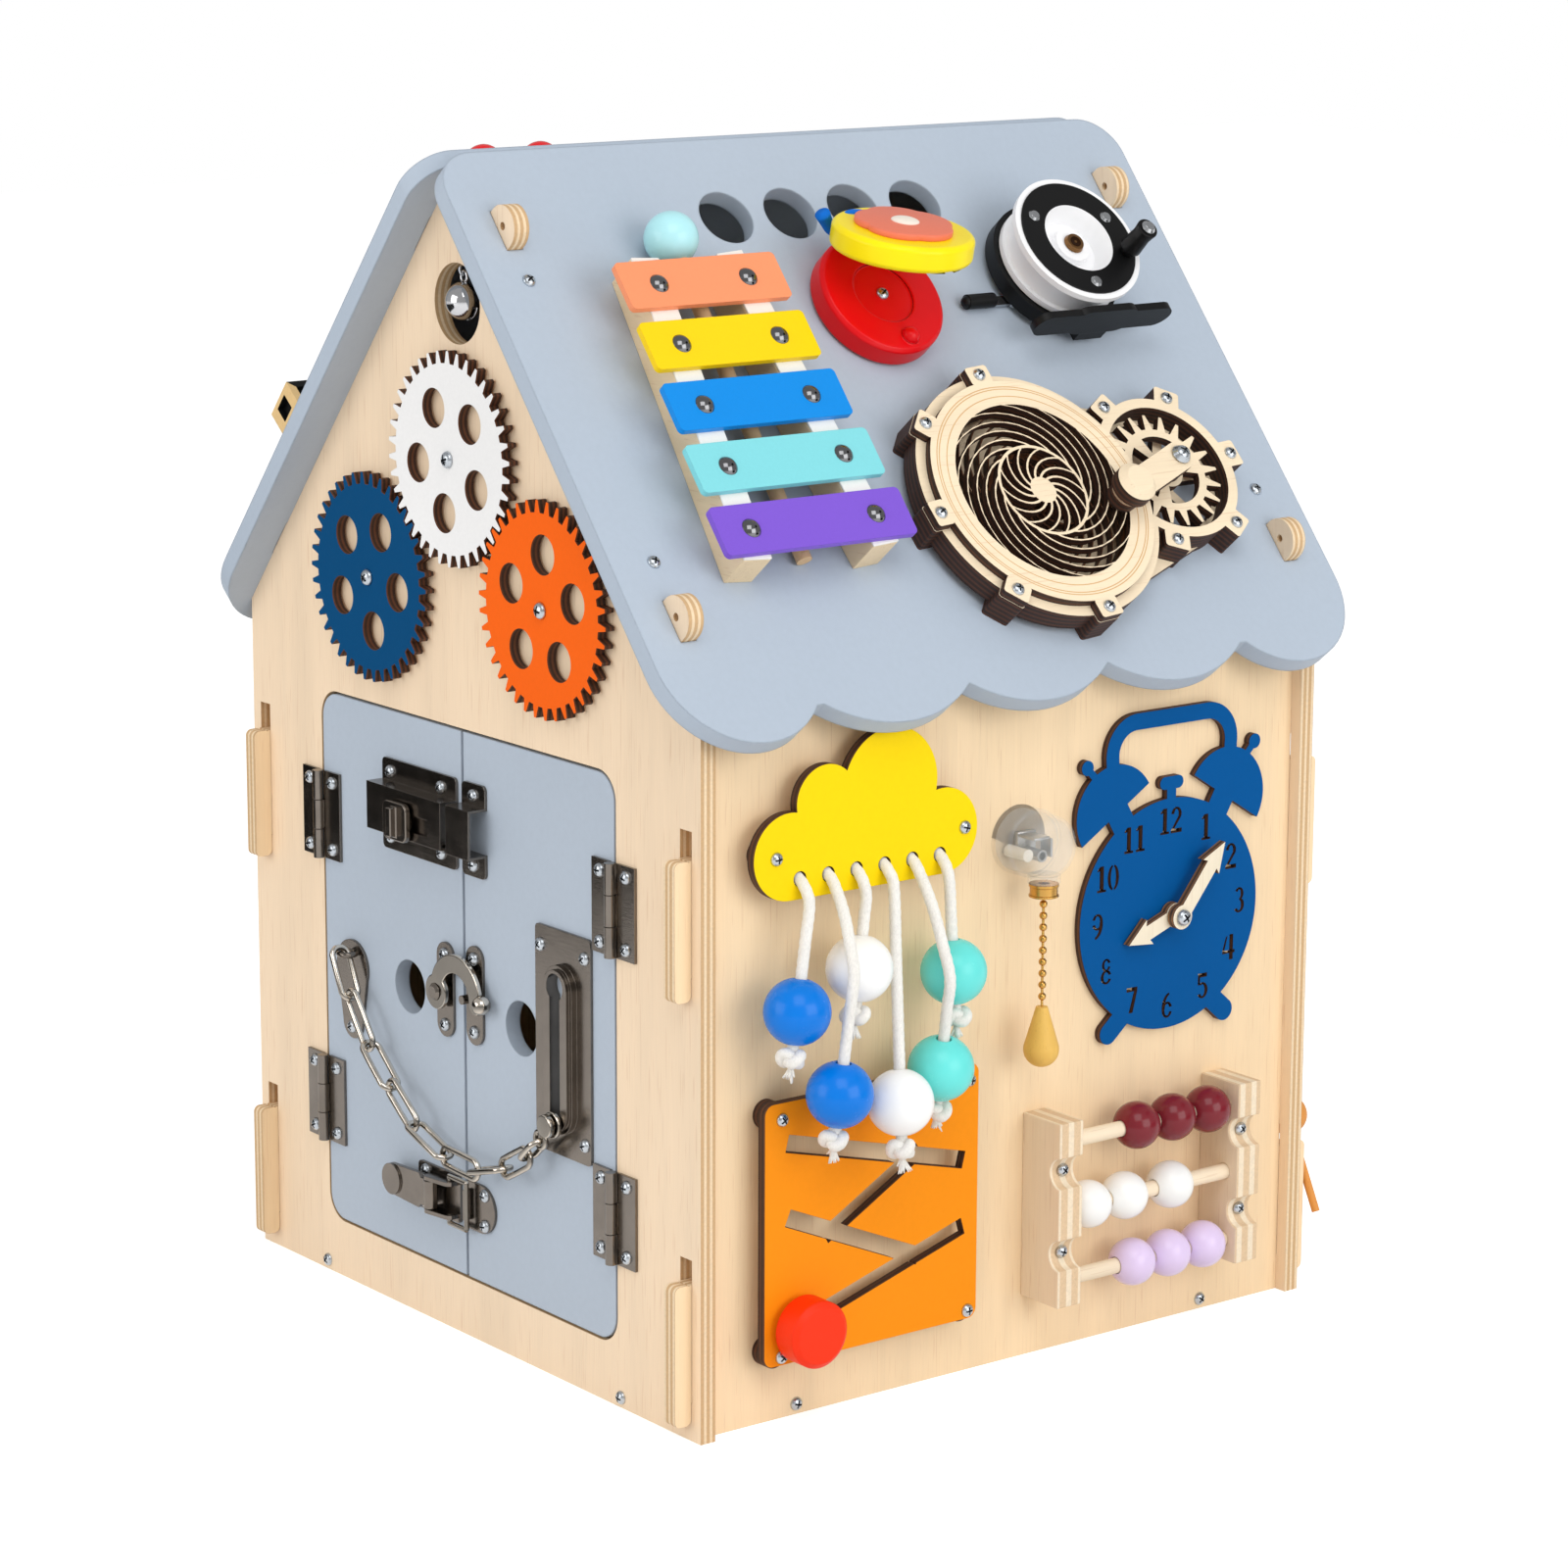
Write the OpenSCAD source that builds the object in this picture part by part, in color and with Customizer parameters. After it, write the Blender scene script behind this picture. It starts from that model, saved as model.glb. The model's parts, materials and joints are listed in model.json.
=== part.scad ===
// Wooden activity house for small children: a hand-height busy house of birch plywood
// with doors, latches, gears, an abacus, a toy clock, rope beads and roof toys.
// Millimetres. Z is up, the door front faces -Y, the clock wall faces +X.
// The origin lies in the middle of the underside of the floor panel.

/* [House] */
// Width of the front and rear panels
panel_w = 300; // [240:1:400]
// Distance between the outer faces of the front and rear panels
house_d = 294; // [240:1:400]
// Thickness of the plywood panels
ply = 6.5; // [4:0.5:12]
// Distance of the side walls in from the panel edges
wall_inset = 5.5; // [0:0.5:20]
// Height of the panel shoulders under the eaves
eave_z = 266; // [200:1:340]
// Pitch of the roof in degrees
pitch = 50.4; // [35:0.1:60]
// Thickness of the roof panels
roof_t = 7.5; // [5:0.5:12]
// Overhang of the roof past the front and rear panels
roof_over = 15; // [5:1:30]
// Thickness of the floor panel
floor_t = 8; // [5:0.5:15]
// Height of the side walls
wall_h = 272; // [200:1:340]
// Play between panels that plug into each other
panel_fit = 0.25; // [0.1:0.05:0.6]

/* [Roof edge] */
// Slope distance from the ridge to the scallop cusps
cusp_s = 249; // [220:1:270]
// Depth of the scallops
scallop_drop = 11.5; // [4:0.5:20]
// Radius of the inner scallops
scallop_r = 53.4; // [40:0.1:80]
// Spacing of the scallop cusps
scallop_pitch = 66.2; // [40:0.1:80]
// Radius of the lower roof corners
roof_corner_r = 34; // [10:1:50]
// Radius of the upper roof corners
roof_top_r = 17; // [5:1:30]
// Diameter of the four holes under the ridge
roof_hole_d = 23; // [10:1:35]
// Slope distance of those holes
roof_hole_s = 44.5; // [30:0.5:60]

/* [Panel joints] */
// Width of the roof tenons
tenon_w = 16.6; // [10:0.2:25]
// Straight height of a tenon above the roof
tenon_rise = 2; // [0:0.5:6]
// Slope distance of the upper tenons
tenon_s1 = 43.7; // [30:0.1:80]
// Slope distance of the lower tenons
tenon_s2 = 209; // [150:0.5:235]
// Reach of the wall hooks outside the panels
hook_out = 7.2; // [3:0.1:12]
// Drop of a wall hook behind the panel
hook_drop = 8.5; // [3:0.5:15]

/* [Screws] */
// Diameter of the screw heads
screw_head_d = 5.2; // [4:0.1:8]
// Height of the screw heads
screw_head_h = 1.7; // [1:0.1:3]
// Diameter of the screw shanks
screw_d = 2.4; // [2:0.1:4]
// Play of a shank in its hole
screw_fit = 0.05; // [0.02:0.01:0.2]

/* [Doors] */
// Width of the door opening
open_w = 198; // [120:1:240]
// Lower edge of the door opening
open_z0 = 23; // [15:1:60]
// Upper edge of the door opening
open_z1 = 238; // [150:1:250]
// Corner radius of the door opening
open_r = 11; // [4:1:20]
// Gap around the doors
door_gap = 1.1; // [0.5:0.1:3]
// Gap between the two doors
seam = 1.5; // [0.8:0.1:4]
// Diameter of the finger holes
finger_d = 21; // [12:1:30]
// Height of a hinge
hinge_h = 35; // [20:1:50]
// Width of one hinge leaf
leaf_w = 13.2; // [8:0.2:20]
// Thickness of hinge leaves and latch plates
plate_t = 1.2; // [0.8:0.1:2]
// Radius of the hinge knuckles
knuckle_r = 2.2; // [1.5:0.1:4]
// Radius of the hinge pins
pin_r = 0.9; // [0.6:0.1:2]
// Running play of pins in their bores
run_fit = 0.07; // [0.02:0.01:0.1]
// Radius of the chain wire
chain_wire = 1.2; // [0.8:0.05:1.6]
// Half width of a chain link along the wire centre
chain_half = 3.7; // [2.5:0.1:5]

/* [Gable gears] */
// Teeth of each gable gear
gear_n = 38; // [24:1:48]
// Module of the gable gears
gear_m = 2; // [1.5:0.1:2.5]
// Thickness of the gable gears
gear_t = 4; // [3:0.5:6]
// Extra centre distance between meshing gears
gear_play = 0.4; // [0.1:0.1:0.8]
// Direction of the blue gear from the white one
blue_dir = 222.5; // [200:0.5:240]
// Direction of the orange gear from the white one
orange_dir = -38.7; // [-60:0.1:-20]
// Diameter of the bell hole
bell_hole_d = 30; // [20:1:40]

/* [Wall toys] */
// Thickness of the cloud and maze boards
board_t = 4; // [3:0.5:6]
// Length of the standoffs behind the boards
standoff = 6.5; // [5:0.5:12]
// Diameter of the rope
rope_d = 4.4; // [3:0.1:5]
// Diameter of the rope beads
rope_bead_d = 24.4; // [18:0.1:26]
// Width of the maze slot
slot_w = 6.6; // [5:0.1:9]
// Diameter of the maze knob
knob_d = 25; // [18:0.5:28]
// Radius of the clock face
clock_r = 45; // [35:0.5:50]
// Thickness of the clock face
clock_t = 3; // [2:0.5:8]
// Diameter of the abacus beads
abacus_bead_d = 18.3; // [14:0.1:20]
// Diameter of the abacus rods
abacus_rod_d = 6; // [4:0.1:8]

/* [Roof toys] */
// Width of a xylophone bar
bar_w = 20; // [14:0.5:24]
// Spacing of the xylophone bars
bar_pitch = 25.85; // [20:0.05:30]
// Thickness of a xylophone bar
bar_t = 2.5; // [1.5:0.1:4]
// Height of the xylophone rails
rail_h = 15; // [10:0.5:20]
// Radius of the castanet base
cast_r = 26.5; // [20:0.5:30]
// Opening angle of the castanet lid as built
cast_open = 38; // [20:1:60]
// Radius of the reel spool
reel_r = 27.8; // [22:0.2:30]
// Module of the gearbox wheels
box_m = 2.25; // [1.5:0.05:2.5]
// Teeth of the spiral wheel
box_n2 = 40; // [30:2:48]
// Teeth of the drive gear
box_n1 = 20; // [15:1:24]
// Number of spiral arms
arm_n = 14; // [8:1:18]

/* [Hidden] */
$fn = 48;
front_y = -house_d/2;
wall_x = panel_w/2 - wall_inset;
wall_y = house_d/2 - ply;
apex_z = eave_z + panel_w/2*tan(pitch);
apex_o = apex_z + roof_t/cos(pitch);
ridge_s = roof_t*tan(pitch);
roof_l = house_d + 2*roof_over;
// Wall tabs: neck from, neck to, slot to
tabs = [[14.5, 59, 68], [172, 214.5, 225]];
roof_holes = [-45.3, -15.1, 15.1, 45.3];
roof_screws = [for (y = [-1, 1], s = [65.7, 185]) [y*(house_d/2 - ply/2), s]];
floor_sx = 101;
floor_sy = 99.6;
// Doors and their fittings, as x and height on the front
hinge_z = [72.6, 188];
hinge_x = open_w/2 - 0.5;
hinge_off = knuckle_r + 0.3;
knuckle_l = (hinge_h - 0.6)/3;
leaf_screws = [for (z = hinge_z, d = [-13.3, 13.3]) [hinge_x - 8, z + d]];
frame_leaf_screws = [for (z = hinge_z, d = [-13.3, 13.3]) [hinge_x + 8, z + d]];
finger = [38, 130.3];
bolt = [-28.3, 200.75];
hook_p = [-13, 134.5];
toggle_v = 53.5;
track = [66.6, 130.8];
anchor = [-78, 130];
left_screws = concat([for (p = leaf_screws) [-p[0], p[1]]],
    [[-48, 213.4], [-13, 213.4], [-48, 188], [-13, 188], [-11.8, 148.8], [-11.8, 121.2],
     [-78, 106], [-26.5, 60], [-26.5, 47]]);
right_screws = concat(leaf_screws,
    [[8.8, 214], [8.8, 187.5], [8.2, 151], [8.2, 122.5], [52.6, 166], [80.6, 166], [52.6, 95.4],
     [80.6, 95.4], [14, 59.5], [14, 47.5]]);
// Chain joints: x, height, distance from the door face
chain = [[-76.2, 137.8, 7.9], [-68.3, 121.9, 8], [-54.4, 104.7, 8.5], [-38.7, 92.2, 9],
    [-22.5, 80.2, 9], [-1.5, 73.2, 9], [20, 72.3, 9], [38.8, 77.8, 9], [54.5, 86.5, 9], [62, 93.5, 9]];
// Gable gears and bell
white_c = [0, apex_z - 107.818];
gear_cd = gear_m*gear_n + gear_play;
blue_c = white_c + gear_cd*[cos(blue_dir), sin(blue_dir)];
orange_c = white_c + gear_cd*[cos(orange_dir), sin(orange_dir)];
gear_p = 360/gear_n;
gear_z0 = 0.8;
bell_c = [0, apex_z - 50.618];
eye_z = apex_z - 38.318;
eye_r = 1.9;
eye_w = 0.55;
// Right wall toys, as y and height on the wall
cloud_screws = [[-117.5, 213], [-31.5, 213]];
maze_c = [-72.7, 74];
maze_screws = [for (i = [-1, 1], j = [-1, 1]) [-71 + i*43.5, 72.5 + j*44.5]];
maze_end = [-33.2, 60.4];
maze_rest = [-107, 38.3];
rope_holes = [for (i = [0:5]) [-107 + 12.8*i, 204.4]];
rope_r = rope_d/2;
// Rope beads: y, height, distance of the centre from the wall
beads = [[-114.9, 159, 19.5], [-102.2, 128.4, 28], [-87, 170.5, 19.5],
    [-76.9, 121.8, 31], [-53.2, 129.2, 24.8], [-43.3, 162.6, 19.5]];
board_front = standoff + board_t;
clock_c = [76.5, 163.3];
hour_a = 250;
minute_a = 38.5;
switch_c = [3, 202];
chain_off = 15;
post_y = [13.25, 103.75];
post_w = 11.5;
post_d = 21.5;
rod_off = 14;
rod_len = post_y[1] - post_y[0] + post_w - 5;
rod_z = [86.4, 59.7, 32.4];
notch_z = [76.5, 44.5];
notch_r = 6;
abacus_y = [[52.3, 70.4, 88.5], [28.4, 46.7, 70], [51.3, 69.4, 87.5]];
// Right roof toys, as y and slope distance
bar_s0 = 82.5;
bar_y = -84;
bar_len = [71.8, 73.7, 77.4, 81.5, 85.2];
bar_nail = [20, 22, 24, 26, 28];
strip_t = 1;
bar_z = rail_h + strip_t;
mallet_y = -83.3;
cast_c = [1, 89];
cast_h = 10.5;
lid_h = 10;
dish_z = cast_h - 1;
nub = [2.4, -20.1];
lid_s = cast_c[1] - cast_r - 1.2;
reel_c = [90, 82];
reel_z = 3;
lever_c = [-20.5, -9.8];
handle_a = -22;
handle_r = 21.3;
box_c = [26.2, 182.9];
box_dir = 4.5;
box_cd = box_m*(box_n1 + box_n2)/2 + 0.3;
drive_c = [box_cd*cos(box_dir), box_cd*sin(box_dir)];
box_r = 49.8;
box_in = box_m*box_n2/2 + 2.9;
ring_r = 31;
ring_in = 26.8;
box_base = 3.5;
box_h = 12.5;
box_screws = [for (a = [95:45:275]) 51.5*[cos(a), sin(a)]];
ring_screws = [for (a = [-112, -54, 5, 63, 121]) drive_c + 33.4*[cos(a), sin(a)]];

// Frames: children are drawn with x and y on the surface and z pointing away from it
module on_front() { translate([0, front_y, 0]) rotate([90, 0, 0]) children(); }
module on_rear() { mirror([0, 1, 0]) on_front() children(); }
module on_right() { translate([wall_x, 0, 0]) rotate([90, 0, 90]) children(); }
module on_left() { mirror([1, 0, 0]) on_right() children(); }
module on_roof() { translate([0, 0, apex_o]) rotate([0, pitch, 0]) rotate([0, 0, 90]) children(); }
module on_left_roof() { mirror([1, 0, 0]) on_roof() children(); }
module at_roof(c) { on_roof() translate([c[0], -c[1], 0]) children(); }

// Small shapes
module rrect(w, h, r) {
    square([w, h - 2*r], center = true);
    square([w - 2*r, h], center = true);
    for (i = [-1, 1], j = [-1, 1]) translate([i*(w/2 - r), j*(h/2 - r)]) circle(r);
}
module pill(p, q, w) {
    translate(p) circle(d = w);
    translate(q) circle(d = w);
    translate((p + q)/2) rotate(atan2(q[1] - p[1], q[0] - p[0]))
        square([norm(q - p), w - 0.02], center = true);
}
module screw(l) {
    cylinder(d1 = screw_head_d, d2 = screw_head_d*0.7, h = screw_head_h);
    translate([0, 0, -l]) cylinder(d = screw_d, h = l + 0.1);
}
module shank_hole(l) { translate([0, 0, -l - 0.2]) cylinder(d = screw_d + 2*screw_fit, h = l + 2); }
module shank_2d() { circle(d = screw_d + 2*screw_fit); }
module torus(r, w) { rotate_extrude() translate([r, 0]) circle(w); }

function teeth(n, rr, rt, fr, ft) = [for (i = [0:n - 1], k = [0:3])
    let (a = 360/n*(i + (k == 0 ? -fr : k == 1 ? -ft : k == 2 ? ft : fr)),
         r = k == 0 || k == 3 ? rr : rt) r*[cos(a), sin(a)]];
function strip(r0, r1, a0, a1, w, n) = concat(
    [for (i = [0:n]) let (r = r0 + (r1 - r0)*i/n, a = a0 + (a1 - a0)*i/n - w/r*28.65)
        r*[cos(a), sin(a)]],
    [for (i = [n:-1:0]) let (r = r0 + (r1 - r0)*i/n, a = a0 + (a1 - a0)*i/n + w/r*28.65)
        r*[cos(a), sin(a)]]);

// Screw places that several panels share
module roof_screw_places() { on_roof() for (p = roof_screws) translate([p[0], -p[1], 0]) children(); }
module left_roof_screw_places() {
    on_left_roof() for (p = roof_screws) translate([p[0], -p[1], 0]) children();
}
module floor_screw_places() {
    for (x = [-floor_sx, floor_sx]) {
        on_front() translate([x, floor_t/2, 0]) children();
        on_rear() translate([x, floor_t/2, 0]) children();
    }
    for (y = [-floor_sy, floor_sy]) {
        on_right() translate([y, floor_t/2, 0]) children();
        on_left() translate([y, floor_t/2, 0]) children();
    }
}

// Panels of the house
module tenon_2d() {
    h = roof_t + tenon_rise;
    difference() {
        union() {
            translate([-tenon_w/2, -1]) square([tenon_w, h + 1]);
            translate([0, h]) circle(d = tenon_w);
        }
        translate([0, h + 1]) circle(d = 3);
    }
}
module gable_2d() {
    difference() {
        union() {
            polygon([[-panel_w/2, 0], [panel_w/2, 0], [panel_w/2, eave_z], [0, apex_z],
                [-panel_w/2, eave_z]]);
            for (m = [0, 1], s = [tenon_s1, tenon_s2]) mirror([m, 0])
                translate([(s - ridge_s)*cos(pitch), apex_z - (s - ridge_s)*sin(pitch)])
                    rotate(-pitch) tenon_2d();
        }
        for (m = [-1, 1], t = tabs)
            translate([m*(wall_x - ply/2) - ply/2 - panel_fit, t[0] - panel_fit])
                square([ply + 2*panel_fit, t[2] - t[0] + panel_fit]);
        for (x = [-floor_sx, floor_sx]) translate([x, floor_t/2]) shank_2d();
    }
}
module front_panel() color([0.93, 0.82, 0.66]) difference() {
    on_front() translate([0, 0, -ply]) linear_extrude(ply) difference() {
        gable_2d();
        translate([0, (open_z0 + open_z1)/2]) rrect(open_w, open_z1 - open_z0, open_r);
        translate(bell_c) circle(d = bell_hole_d);
        for (c = [white_c, blue_c, orange_c]) translate(c) shank_2d();
        for (m = [-1, 1], p = frame_leaf_screws) translate([m*p[0], p[1]]) shank_2d();
    }
    on_front() translate([0, eye_z, -ply/2]) rotate([-90, 0, 0])
        cylinder(r = eye_w + screw_fit, h = 9);
    roof_screw_places() shank_hole(roof_t + 12);
    left_roof_screw_places() shank_hole(roof_t + 12);
}
module rear_panel() color([0.92, 0.81, 0.65]) difference() {
    on_rear() translate([0, 0, -ply]) linear_extrude(ply) gable_2d();
    roof_screw_places() shank_hole(roof_t + 12);
    left_roof_screw_places() shank_hole(roof_t + 12);
}
module wall_2d() {
    translate([-wall_y, 0]) square([2*wall_y, wall_h]);
    for (m = [0, 1], t = tabs) mirror([m, 0]) {
        translate([wall_y - 1, t[0]]) square([ply + 2, t[1] - t[0]]);
        translate([house_d/2 + 0.15 + hook_out/2, (t[0] - hook_drop + t[1])/2])
            rrect(hook_out, t[1] - t[0] + hook_drop, 2.4);
    }
}
module left_wall() color([0.92, 0.81, 0.65]) on_left() translate([0, 0, -ply]) linear_extrude(ply)
    difference() {
        wall_2d();
        for (y = [-floor_sy, floor_sy]) translate([y, floor_t/2]) shank_2d();
    }
module right_wall() color([0.93, 0.82, 0.66]) on_right() translate([0, 0, -ply]) linear_extrude(ply)
    difference() {
        wall_2d();
        for (y = [-floor_sy, floor_sy]) translate([y, floor_t/2]) shank_2d();
        for (p = concat(cloud_screws, maze_screws, [clock_c])) translate(p) shank_2d();
        for (y = post_y, z = notch_z) translate([y, z]) shank_2d();
    }
module floor_panel() color([0.9, 0.78, 0.6]) difference() {
    translate([-(wall_x - ply), -wall_y, 0]) cube([2*(wall_x - ply), 2*wall_y, floor_t]);
    floor_screw_places() shank_hole(ply + 12);
}
module roof_2d(holes) {
    lobe_s = cusp_s + scallop_drop;
    corner_s = lobe_s - roof_corner_r;
    corner_y = roof_l/2 - roof_corner_r;
    difference() {
        union() {
            translate([-roof_l/2, -corner_s]) square([roof_l, corner_s - ridge_s - roof_top_r]);
            translate([-roof_l/2 + roof_top_r, -ridge_s - roof_top_r - 1])
                square([roof_l - 2*roof_top_r, roof_top_r + 1]);
            for (m = [-1, 1]) {
                translate([m*(roof_l/2 - roof_top_r), -ridge_s - roof_top_r]) circle(roof_top_r);
                translate([m*corner_y, -corner_s]) circle(roof_corner_r);
            }
            translate([-corner_y, -cusp_s]) square([2*corner_y, cusp_s - corner_s + 1]);
            for (i = [-1, 0, 1]) intersection() {
                translate([i*scallop_pitch, scallop_r - lobe_s]) circle(scallop_r);
                translate([i*scallop_pitch - scallop_pitch/2, -lobe_s - 1])
                    square([scallop_pitch, scallop_drop + 6]);
            }
        }
        for (y = [-1, 1], s = [tenon_s1, tenon_s2])
            translate([y*(house_d/2 - ply/2), -s])
                square([ply + 2*panel_fit, tenon_w + 2*panel_fit], center = true);
        if (holes) for (y = roof_holes) translate([y, -roof_hole_s]) circle(d = roof_hole_d);
        for (p = roof_screws) translate([p[0], -p[1]]) shank_2d();
        children();
    }
}
module right_roof() color([0.71, 0.76, 0.82]) on_roof() translate([0, 0, -roof_t])
    linear_extrude(roof_t) roof_2d(true) {
        union() {
            translate([cast_c[0], -cast_c[1]]) shank_2d();
            for (p = concat(box_screws, ring_screws))
                translate([box_c[0] + p[0], p[1] - box_c[1]]) shank_2d();
        }
    }
module left_roof() color([0.71, 0.76, 0.82]) on_left_roof() translate([0, 0, -roof_t])
    linear_extrude(roof_t) roof_2d(false);

// Screws, gear pivots and the bell eye that stay with the house
module house_screws() color([0.75, 0.76, 0.78]) {
    floor_screw_places() screw(ply + 10);
    roof_screw_places() screw(roof_t + 10);
    left_roof_screw_places() screw(roof_t + 10);
    on_front() {
        for (m = [-1, 1], p = frame_leaf_screws) translate([m*p[0], p[1], plate_t]) screw(ply);
        for (c = [white_c, blue_c, orange_c]) translate([c[0], c[1], 0]) {
            cylinder(r = 5, h = gear_z0 - 0.2);
            cylinder(r = 2.2, h = gear_z0 + gear_t + 0.3);
            translate([0, 0, gear_z0 + gear_t + 0.2]) cylinder(d1 = 6.6, d2 = 5, h = 2);
            translate([0, 0, -ply + 0.5]) cylinder(d = screw_d, h = ply);
        }
        translate([0, eye_z, -ply/2]) {
            rotate([0, 90, 0]) torus(eye_r, eye_w);
            translate([0, eye_r, 0]) rotate([-90, 0, 0]) cylinder(r = eye_w, h = 6);
        }
    }
    on_right() {
        for (p = concat(cloud_screws, maze_screws))
            translate([p[0], p[1], board_front]) screw(board_front + ply - 1);
        for (y = post_y, z = notch_z)
            translate([y, z, post_d + 1.1 - notch_r]) screw(post_d + 1.1 - notch_r + ply - 1);
        translate([clock_c[0], clock_c[1], 0]) {
            translate([0, 0, -ply + 0.5]) cylinder(d = screw_d, h = ply + 2);
            cylinder(r = 2.4, h = clock_t + 8.4);
            translate([0, 0, clock_t + 8.3]) cylinder(d1 = 6.6, d2 = 5, h = 2);
        }
    }
    at_roof(cast_c) translate([0, 0, dish_z]) screw(dish_z + roof_t - 1);
    at_roof(box_c) {
        for (p = box_screws) translate([p[0], p[1], box_h + 3.5]) screw(box_h + 3.5 + roof_t - 1);
        for (p = ring_screws) translate([p[0], p[1], box_h]) screw(box_h + roof_t - 1);
    }
}

// Hinges
module hinge_leaf(ks) {
    difference() {
        translate([2.6, -hinge_h/2, 0]) cube([leaf_w - 2.6, hinge_h, plate_t]);
        for (d = [-13.3, 13.3]) translate([8, d, 0]) shank_hole(2);
    }
    for (k = ks) translate([0, k*(knuckle_l + 0.3), 0]) {
        translate([0.5, -knuckle_l/2, 0.5]) cube([2.3, knuckle_l, plate_t - 0.5]);
        translate([0, 0, hinge_off]) rotate([90, 0, 0])
            cylinder(r = knuckle_r, h = knuckle_l, center = true);
    }
}
module frame_hinges() color([0.36, 0.36, 0.38]) on_front() for (m = [0, 1], z = hinge_z)
    mirror([m, 0, 0]) translate([hinge_x, z, 0]) {
        hinge_leaf([-1, 1]);
        translate([0, 0, hinge_off]) rotate([90, 0, 0]) cylinder(r = pin_r, h = hinge_h, center = true);
    }
module door_leaf_hinge() {
    for (z = hinge_z) translate([hinge_x, z, 0]) difference() {
        mirror([1, 0, 0]) hinge_leaf([0]);
        translate([0, 0, hinge_off]) rotate([90, 0, 0])
            cylinder(r = pin_r + run_fit, h = hinge_h, center = true);
    }
}

// Doors
module door_2d(screws) {
    x1 = open_w/2 - door_gap;
    z0 = open_z0 + door_gap;
    z1 = open_z1 - door_gap;
    r = open_r - door_gap;
    difference() {
        union() {
            translate([seam/2, z0]) square([x1 - r - seam/2, z1 - z0]);
            translate([x1 - r - 0.1, z0 + r]) square([r + 0.1, z1 - z0 - 2*r]);
            translate([x1 - r, z0 + r]) circle(r);
            translate([x1 - r, z1 - r]) circle(r);
        }
        translate(finger) circle(d = finger_d);
        for (p = screws) translate([abs(p[0]), p[1]]) shank_2d();
    }
}
module left_door() color([0.72, 0.77, 0.83]) on_front() translate([0, 0, -ply]) mirror([1, 0, 0])
    linear_extrude(ply) door_2d(left_screws);
module right_door() color([0.72, 0.77, 0.83]) on_front() translate([0, 0, -ply])
    linear_extrude(ply) door_2d(right_screws);
module left_door_screws() color([0.75, 0.76, 0.78]) on_front()
    for (p = left_screws) translate([p[0], p[1], plate_t]) screw(ply);
module right_door_screws() color([0.75, 0.76, 0.78]) on_front()
    for (p = right_screws) translate([p[0], p[1], plate_t]) screw(ply);
module plate_holes(screws) { for (p = screws) translate(p) shank_2d(); }
module bolt_case() difference() {
    union() {
        linear_extrude(plate_t) difference() {
            translate(bolt) rrect(50.8, 35.5, 2);
            plate_holes(left_screws);
        }
        translate([bolt[0] - 25.4, bolt[1] - 9.2, 0]) cube([50.8, 18.4, 8.5]);
    }
    translate([bolt[0] - 30, bolt[1] - 8.3, -1]) cube([60, 16.6, 8.5]);
    translate([bolt[0] - 5.4, bolt[1] - 5.6, 5]) cube([22.4, 6.6, 10]);
}
module hook_plate() {
    linear_extrude(plate_t) difference() {
        pill([-11.8, 122], [-11.8, 148], 11);
        plate_holes(left_screws);
    }
    translate([hook_p[0], hook_p[1], 0.5]) {
        cylinder(r = 3.2, h = 2.3);
        cylinder(r = 1.6, h = 5);
        translate([0, 0, 4.7]) cylinder(r1 = 3.4, r2 = 2.4, h = 1.2);
    }
}
module chain_anchor() {
    linear_extrude(plate_t) difference() {
        union() {
            translate(anchor) circle(11);
            translate([anchor[0], anchor[1] - 22]) circle(6.8);
            polygon([anchor + [11, 0], anchor + [-11, 0], anchor + [-6.8, -22], anchor + [6.8, -22]]);
        }
        plate_holes(left_screws);
    }
    translate([anchor[0] + 2.5, anchor[1] + 6.5, 4.7]) rotate([90, 0, 0]) torus(3.2, 1.2);
}
module toggle_base() difference() {
    union() {
        linear_extrude(plate_t) difference() {
            translate([-17.5, toggle_v]) rrect(29, 19, 2);
            plate_holes(left_screws);
        }
        for (m = [-1, 1]) translate([0, toggle_v + m*6.6, 0]) rotate([90, 0, 0])
            linear_extrude(1.6, center = true) {
                pill([-17, 5.5], [-6.5, 3.8], 5);
                translate([-19.5, 0.6]) square([15.5, 4]);
            }
        translate([-17, toggle_v, 5.5]) rotate([90, 0, 0]) cylinder(r = 1.2, h = 14.6, center = true);
    }
    translate([-6.5, toggle_v, 3.8]) rotate([90, 0, 0])
        cylinder(r = 1 + run_fit, h = 30, center = true);
}
module left_door_fittings() color([0.36, 0.36, 0.38]) on_front() {
    mirror([1, 0, 0]) door_leaf_hinge();
    bolt_case();
    hook_plate();
    chain_anchor();
    toggle_base();
}
module bolt_keeper() difference() {
    union() {
        linear_extrude(plate_t) difference() {
            translate([8.8, bolt[1]]) rrect(15.2, 35.7, 2);
            plate_holes(right_screws);
        }
        translate([1.2, bolt[1] - 9.4, 0]) cube([15.2, 18.8, 8.7]);
    }
    translate([0, bolt[1] - 8.5, -1]) cube([20, 17, 8.7]);
}
module hook_catch() {
    linear_extrude(plate_t) difference() {
        pill([8.2, 123], [8.2, 150.5], 11);
        plate_holes(right_screws);
    }
    translate([5, 135, 0.5]) cylinder(r = 1.8, h = 4.5);
}
module chain_track() difference() {
    union() {
        linear_extrude(plate_t) translate(track) rrect(35.2, 85.6, 2);
        linear_extrude(3.6) pill([track[0], 106], [track[0], 152], 18);
        translate([0, 0, 3.4]) linear_extrude(1.6) pill([track[0], 106], [track[0], 152], 15);
    }
    translate([0, 0, -1]) linear_extrude(10) {
        pill([track[0], 104], [track[0], 153], 6.5);
        translate([track[0], 153]) circle(5.2);
        plate_holes(right_screws);
    }
}
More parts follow.
